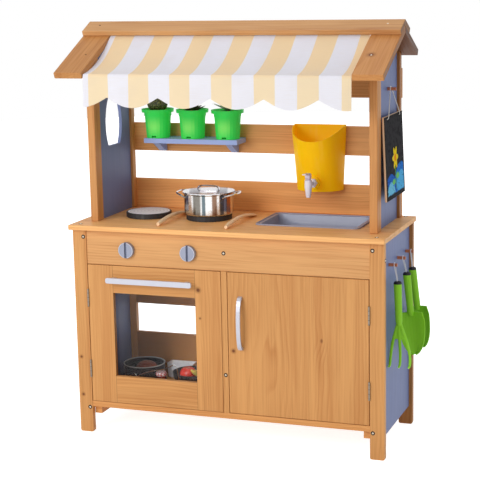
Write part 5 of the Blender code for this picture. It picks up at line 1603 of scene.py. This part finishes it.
def picture(tree, vector, strokes, corner, width):
    """A flower before blue hills as (mask, colour) pairs, measured in widths of the board."""
    at = (0.0, -corner.y / width, -corner.z / width)
    on_board = turned(tree, vector, at, scale=(1 / width,) * 3)
    ragged = wander(tree, vector, 160.0, 2.0, 0.035)
    _, u, v = split(tree, vectors(tree, "ADD", on_board, ragged))
    soft = 0.008

    def within(distance, radius):
        return ease(tree, distance, radius + soft, radius - soft)

    def disc(middle, radius, flat=1.0):
        up = times(tree, minus(tree, v, middle[1]), flat)
        return within(slant(tree, minus(tree, u, middle[0]), up), radius)

    sides = times(tree, ease(tree, u, 0.05, 0.07), ease(tree, u, 0.95, 0.93))
    inside = times(tree, sides, ease(tree, v, 0.06, 0.08))
    dabs = ease(tree, strokes, 0.30, 0.42)
    layers = [
        (times(tree, disc(middle, radius), inside, dabs), tint(*paint))
        for middle, radius, paint in HILLS
    ]
    stem_at = plus(tree, 0.50, times(tree, ripple(tree, v, 9.0), 0.02))
    stem_span = times(tree, ease(tree, v, 0.10, 0.12), ease(tree, v, 0.46, 0.44))
    layers.append((times(tree, near(tree, u, stem_at, 0.016), stem_span), tint(96, 186, 84)))
    for middle, flat in STEM_LEAVES:
        layers.append((disc(middle, 0.085, flat), tint(122, 206, 112)))
    right, up = minus(tree, u, 0.51), minus(tree, v, 0.53)
    distance = slant(tree, right, up)
    around = times(tree, maths(tree, "ARCTAN2", up, right), 6.0)
    petals = times(tree, maths(tree, "COSINE", around), 0.035)
    layers.append((within(minus(tree, distance, petals), 0.125), tint(252, 220, 30)))
    layers.append((within(distance, 0.052), tint(244, 146, 28)))
    return layers


# Garden tools

# How far below its peg each tool's grip begins
GRIP_DROPS = {"hand_rake": 0.0445, "front_shovel": 0.0395, "rear_shovel": 0.0450}


class MUDKITCHEN_OT_tools(bpy.types.Operator):
    """Finishes the rake and the shovels with their collars and strings"""

    bl_idname = "mudkitchen.tools"
    bl_label = "Rake and shovels"

    def execute(self, context):
        paint = settings_of("toys").tool
        for name in GRIP_DROPS:
            marks = tool_marks(name)
            green = plastic("green_" + name, paint, 0.5, marks=marks, Specular_IOR_Level=0.3)
            coat(green, name)
        return {"FINISHED"}


def tool_marks(name):
    """A tool's black collar, its white string, and the paler tips of a rake."""
    low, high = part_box(name)
    peg_drop, soft = 0.0061, 0.0004
    grip_top = high.z - peg_drop - GRIP_DROPS[name]
    collar, string, tips = grip_top - 0.0070, grip_top + soft, low.z + 0.0035

    def marks(tree):
        z = position(tree, "Z")
        found = [
            (ease(tree, z, collar, collar + soft), (0.012, 0.012, 0.014)),
            (ease(tree, z, string, string + soft), (0.78, 0.78, 0.80)),
        ]
        if name == "hand_rake":
            found.append((ease(tree, z, tips, tips - 0.0010), (0.75, 0.85, 0.55)))
        return found

    return marks


# Toy food

# Lines that bent bars follow: the banana from the middle of the bowl's rim, and the spoon's
# handle from the left end of the bowl, the front of the oven and its floor
BANANA = (
    (0.010, -0.036, 0.014), (0.020, -0.026, 0.002), (0.026, -0.006, -0.006),
    (0.024, 0.018, -0.002), (0.014, 0.034, 0.012),
)
SPOON_HANDLE = ((0.060, 0.012, 0.004), (0.085, 0.016, 0.005), (0.110, 0.024, 0.004))

# Bent wires before the pan, as (across, up) from its left end and the oven's floor
WIRES = {
    "short_wire": ((0.04, 0.0292), (0.0578, 0.0398), (0.0754, 0.0485)),
    "long_wire": (
        (0.0615, 0.0291), (0.0881, 0.0434), (0.1098, 0.0518), (0.1313, 0.0568),
        (0.1568, 0.0609), (0.1824, 0.0729), (0.2039, 0.0865),
    ),
}


class MUDKITCHEN_OT_food(bpy.types.Operator):
    """Fills the oven with toy food, a jar and cutlery"""

    bl_idname = "mudkitchen.food"
    bl_label = "In the oven"

    def execute(self, context):
        settings = settings_of("toys")
        coat(plastic("dish_enamel", tint(52, 46, 46), 0.28), "oven_bowl")
        # The pan's rim carries a painted highlight
        coat(plastic("pan_enamel", tint(46, 40, 42), 0.28, marks=painted_rim_highlight), "oven_pan")
        self.bread(settings)
        self.fruit(settings)
        self.jar()
        self.tin()
        self.cutlery()
        return {"FINISHED"}

    def bread(self, settings):
        middle, rim = middle_of("oven_pan"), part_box("oven_pan")[1].z
        loaf = begin(
            bpy.ops.mesh.primitive_uv_sphere_add, "bread_roll", segments=32, ring_count=20,
            radius=0.031, location=(middle.x + 0.012, middle.y - 0.010, rim - 0.010),
        )
        loaf.scale = (1.0, 0.92, 0.55)
        settle(loaf, smooth=False)
        chance = random.Random(3)
        for vertex in loaf.data.vertices:
            vertex.co += vertex.normal * chance.uniform(-0.0008, 0.0008)
        finer(loaf)
        settle(loaf, angle=80)
        crust = tuple(settings.bread)
        dress(loaf, "pan", patchy_skin("bread_crust", crust, scaled(crust, 1.5)))

    def fruit(self, settings):
        middle, rim = middle_of("oven_bowl"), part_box("oven_bowl")[1].z
        centre = Vector((middle.x - 0.012, middle.y - 0.004, rim - 0.006))
        crown_height = 0.0152
        tomato = self.tomato(centre, 0.024)
        dress(tomato, "bowl", plastic("tomato_skin", settings.tomato, 0.22, Coat_Weight=0.4))
        leaf = model_leaf("calyx_leaf", 0.011, 0.004, 0.0008, 0.002)
        crown = Matrix.Translation(centre + Vector((0, 0, crown_height)))
        leaves = [
            copied(leaf, "calyx_copy", crown @ Matrix.Rotation(2 * math.pi * step / 5, 4, "Z"))
            for step in range(5)
        ]
        bpy.data.objects.remove(leaf)
        green = tint(70, 120, 44)
        look = patchy_skin("calyx_green", green, scaled(green, 1.3))
        dress(joined("tomato_calyx", leaves), "bowl", look)
        path = shifted((middle.x, middle.y, rim), BANANA)
        banana = bent_bar("banana", path, 0.0105, 16, (0.25, 0.9, 1.0, 0.9, 0.3))
        finer(banana)
        settle(banana, angle=80)
        skin = tuple(settings.banana)
        dress(banana, "bowl", patchy_skin("banana_skin", skin, scaled(skin, 0.8)))

    def tomato(self, centre, radius):
        """A flattened ball with five lobes and a dent on top."""
        flatness, lobe_share, dent_depth, dent_width = 0.86, 0.035, 0.006, 0.35
        tomato = begin(
            bpy.ops.mesh.primitive_uv_sphere_add, "tomato", segments=40, ring_count=20,
            radius=radius, location=centre,
        )
        settle(tomato, smooth=False)
        for vertex in tomato.data.vertices:
            off = vertex.co - centre
            level = math.hypot(off.x, off.y) / radius
            lobe = 1 + lobe_share * math.cos(5 * math.atan2(off.y, off.x)) * level
            dent = dent_depth * math.exp(-((level / dent_width) ** 2)) if off.z > 0 else 0
            vertex.co = centre + Vector((off.x * lobe, off.y * lobe, off.z * flatness - dent))
        return settle(tomato, angle=80)

    def jar(self):
        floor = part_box("floor_board")[1].z
        bowl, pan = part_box("oven_bowl")[0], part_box("oven_pan")[1]
        centre = ((pan.x + bowl.x) / 2 - 0.0005, bowl.y + 0.006)
        radius = 0.0155
        profile = (
            (0.4, 0.0), (0.9, 0.0), (1.0, 0.003), (1.0, 0.030), (0.82, 0.035), (0.82, 0.038),
            (0.0, 0.038),
        )
        jar = settle(drawn_up("jam_jar", rings_of(radius, floor, profile), centre, 32))
        dress(jar, "kitchen", plastic("jam_red", tint(112, 42, 36), 0.12, Coat_Weight=0.6))
        profile = (
            (0.3, 0.0385), (0.98, 0.0385), (1.0, 0.039), (1.0, 0.047), (0.94, 0.0485),
            (0.0, 0.0485),
        )
        lid = settle(drawn_up("jam_jar_lid", rings_of(radius, floor, profile), centre, 32))
        dress(lid, "kitchen", plastic("gingham_lid", tint(238, 232, 230), 0.4, marks=gingham))

    def tin(self):
        """A shallow tin with a wider mouth, hollowed from a block."""
        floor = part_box("floor_board")[1].z
        low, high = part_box("oven_bowl")
        wall, depth = 0.003, 0.038
        tin = begin(
            bpy.ops.mesh.primitive_cube_add, "baking_tin", size=1,
            location=(low.x - 0.004, high.y + 0.016, floor + 0.0225),
        )
        tin.scale = (0.078, 0.034, 0.044)
        settle(tin, smooth=False)
        with editing(tin):
            pick(tin, lambda at: at.z > floor + 0.04)
            bpy.ops.transform.resize(value=(1.06, 1.1, 1))
            bpy.ops.mesh.inset(thickness=wall)
            bpy.ops.mesh.extrude_region_move(TRANSFORM_OT_translate={"value": (0, 0, -depth)})
            bpy.ops.transform.resize(value=(0.94, 0.92, 1))
        rounded(tin, 0.0012, 2)
        close_up(tin)
        settle(tin)
        dress(tin, "kitchen", plastic("white_enamel", tint(232, 232, 236), 0.25, Coat_Weight=0.4))

    def cutlery(self):
        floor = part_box("floor_board")[1].z
        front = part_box("oven_window")[1].y
        pan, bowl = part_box("oven_pan")[0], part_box("oven_bowl")[0]
        steel = metal("cutlery_steel", (0.80, 0.79, 0.78), 0.18)
        left = pan.x + 0.012
        forks = ((left, front + 0.018, 0.55), (left + 0.030, front + 0.016, 0.62))
        for index, (x, y, turn) in enumerate(forks, 1):
            fork = self.fork(f"fork_{index}")
            place(fork, Matrix.Translation((x, y, floor + 0.0022)) @ Matrix.Rotation(turn, 4, "Z"))
            dress(fork, "kitchen", steel)
        foot, before_pan = floor + 0.0016, pan.y - 0.0205
        for name, path in WIRES.items():
            points = [(pan.x + across, before_pan, floor + up) for across, up in path]
            points.insert(0, (points[0][0] - 0.010, before_pan, foot))
            points.append((points[-1][0] + 0.004, before_pan, foot))
            dress(bent_bar(name, points, 0.0013), "kitchen", steel)
        path = shifted((bowl.x, front, floor), SPOON_HANDLE)
        handle = bent_bar("white_spoon_handle", path, 0.0030, 12)
        dress(handle, "kitchen", plastic("spoon_white", tint(238, 238, 242), 0.3))

    def fork(self, name):
        """A small fork along +X: a flat handle with three tines at its end."""
        long, middle = 0.090, 0.045
        handle = begin(bpy.ops.mesh.primitive_cube_add, name, size=1, location=(middle, 0, 0))
        handle.scale = (long, 0.006, 0.0016)
        settle(handle, smooth=False)
        with editing(handle):
            bpy.ops.mesh.select_all(action="SELECT")
            bpy.ops.mesh.subdivide(number_cuts=4)
            pick(handle, lambda at: 0.02 < at.x < 0.075, "VERT")
            bpy.ops.transform.resize(value=(1, 0.55, 1), center_override=(middle, 0, 0))
            pick(handle, lambda at: at.x > 0.085)
            bpy.ops.mesh.extrude_region_move(TRANSFORM_OT_translate={"value": (0.004, 0, 0)})
            bpy.ops.transform.resize(value=(1, 1.7, 1), center_override=(long + 0.004, 0, 0))
        pieces = [handle]
        for offset in (-0.0034, 0, 0.0034):
            tine = begin(
                bpy.ops.mesh.primitive_cone_add, "tine", vertices=8, radius1=0.0011,
                radius2=0.0004, depth=0.022, location=(0.104, offset, 0),
                rotation=(0, math.pi / 2, 0),
            )
            pieces.append(settle(tine))
        return settle(joined(name, pieces))


def painted_rim_highlight(tree):
    """A painted highlight along the pan's rim."""
    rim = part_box("oven_pan")[1].z
    edge = ease(tree, position(tree, "Z"), rim - 0.0030, rim - 0.0020)
    return [(times(tree, edge, 0.85), (0.80, 0.78, 0.76))]


def gingham(tree):
    """Red bands that cross, deeper where they overlap."""
    x, y, z = split(tree, coordinates(tree))
    rate = 780.0
    bands, crossing = ripple(tree, x, rate), ripple(tree, plus(tree, y, z), rate)
    first, second = (ease(tree, wave, -0.2, 0.2, 0.0, 0.5) for wave in (bands, crossing))
    return [(plus(tree, first, second), (0.55, 0.03, 0.04))]


# Studio


def look_at(at, target):
    return (Vector(target) - Vector(at)).to_track_quat("-Z", "Y").to_euler()


class MUDKITCHEN_OT_studio(bpy.types.Operator):
    """Sets up the floor, the lights, the world and the camera"""

    bl_idname = "mudkitchen.studio"
    bl_label = "Studio"

    def execute(self, context):
        settings = settings_of("studio")
        scene = context.scene
        scene.view_settings.view_transform = "Standard"
        self.add_camera(scene, settings)
        self.add_floor()
        self.add_world(scene, settings)
        for name, at, target, size, power in (
            ("key", (-1.3, -3.4, 1.75), (0, 0, 0.6), 1.8, settings.key_power),
            ("fill", (2.6, -1.8, 1.5), (0, 0, 0.6), 1.8, settings.fill_power),
            ("top", (0.0, 0.4, 3.0), (0, 0, 0.5), 2.0, settings.top_power),
        ):
            only()
            bpy.ops.object.light_add(type="AREA", location=at, rotation=look_at(at, target))
            lamp = bpy.context.active_object
            lamp.name = name + "_light"
            lamp.data.size = size
            lamp.data.energy = power
        return {"FINISHED"}

    def add_camera(self, scene, settings):
        only()
        bpy.ops.object.camera_add()
        camera = bpy.context.active_object
        camera.name = "photo_camera"
        camera.data.sensor_width = 36
        camera.data.lens = settings.camera_lens
        camera.data.clip_end = 60
        camera.matrix_world = (
            Matrix.Translation(settings.camera_place)
            @ Matrix.Rotation(settings.camera_turn, 4, "Z")
            @ Matrix.Rotation(math.pi / 2 - settings.camera_tilt, 4, "X")
            @ Matrix.Rotation(settings.camera_roll, 4, "Z")
        )
        scene.camera = camera

    def add_floor(self):
        floor = begin(
            bpy.ops.mesh.primitive_circle_add, "studio_floor", vertices=96, radius=9,
            fill_type="NGON",
        )
        settle(floor, smooth=False)
        material, tree, shader = new_material(
            "pale_floor", Roughness=0.9, Base_Color=(0.86, 0.86, 0.86, 1)
        )
        vector = coordinates(tree)
        dim_to, bright_from, dimmest = 0.7, 2.2, 0.80
        glow = ease(tree, span(tree, vector), dim_to, bright_from, dimmest, 1.0)
        bump(tree, shader, noise(tree, vector, 300.0), 0.0004, 0.2)
        strength = times(tree, glow, seen_directly(tree))
        shine = add(tree, "Emission", {"Color": (1, 1, 1, 1), "Strength": strength})
        both = add(tree, "AddShader", {0: shader.outputs[0], 1: shine.outputs[0]})
        tree.links.new(both.outputs[0], tree.nodes["Material Output"].inputs[0])
        floor.data.materials.append(material)

    def add_world(self, scene, settings):
        world = bpy.data.worlds.new("studio_world")
        world.use_nodes = True
        tree = world.node_tree
        background = tree.nodes["Background"]
        background.inputs["Color"].default_value = (1, 1, 1, 1)
        strength = times(tree, seen_directly(tree), 1.0 - settings.ambient)
        strength = plus(tree, strength, settings.ambient)
        tree.links.new(strength, background.inputs["Strength"])
        scene.world = world


def seen_directly(tree):
    """1 for rays from the camera, off a glossy surface or through glass, and otherwise 0."""
    path = add(tree, "LightPath").outputs
    seen = maths(tree, "MAXIMUM", path["Is Camera Ray"], path["Is Glossy Ray"])
    return maths(tree, "MAXIMUM", seen, path["Is Transmission Ray"])


class MUDKITCHEN_PT_panel(bpy.types.Panel):
    """Lists the steps that dress the kitchen"""

    bl_idname = "MUDKITCHEN_PT_panel"
    bl_label = "Mud kitchen"
    bl_space_type = "VIEW_3D"
    bl_region_type = "UI"
    bl_category = "Mud kitchen"

    def draw(self, context):
        layout = self.layout
        for operator in OPERATORS:
            layout.operator(operator.bl_idname)
        for name, group in SETTINGS.items():
            box = layout.box()
            box.label(text=name.title())
            for key in group.__annotations__:
                box.prop(settings_of(name), key)


SETTINGS = {
    "timber": MudKitchenTimber,
    "awning": MudKitchenAwning,
    "fittings": MudKitchenFittings,
    "toys": MudKitchenToys,
    "studio": MudKitchenStudio,
}

OPERATORS = (
    MUDKITCHEN_OT_studio,
    MUDKITCHEN_OT_timber,
    MUDKITCHEN_OT_panels,
    MUDKITCHEN_OT_screws,
    MUDKITCHEN_OT_hinges,
    MUDKITCHEN_OT_handles,
    MUDKITCHEN_OT_worktop,
    MUDKITCHEN_OT_awning,
    MUDKITCHEN_OT_plants,
    MUDKITCHEN_OT_tank,
    MUDKITCHEN_OT_blackboard,
    MUDKITCHEN_OT_tools,
    MUDKITCHEN_OT_food,
)


def register():
    for name, group in SETTINGS.items():
        bpy.utils.register_class(group)
        setattr(bpy.types.Scene, "mud_kitchen_" + name, PointerProperty(type=group))
    for operator in OPERATORS:
        bpy.utils.register_class(operator)
    bpy.utils.register_class(MUDKITCHEN_PT_panel)


def unregister():
    bpy.utils.unregister_class(MUDKITCHEN_PT_panel)
    for operator in reversed(OPERATORS):
        bpy.utils.unregister_class(operator)
    for name, group in SETTINGS.items():
        delattr(bpy.types.Scene, "mud_kitchen_" + name)
        bpy.utils.unregister_class(group)


def main():
    register()
    for operator in OPERATORS:
        family, name = operator.bl_idname.split(".")
        getattr(getattr(bpy.ops, family), name)()


if __name__ == "__main__":
    main()
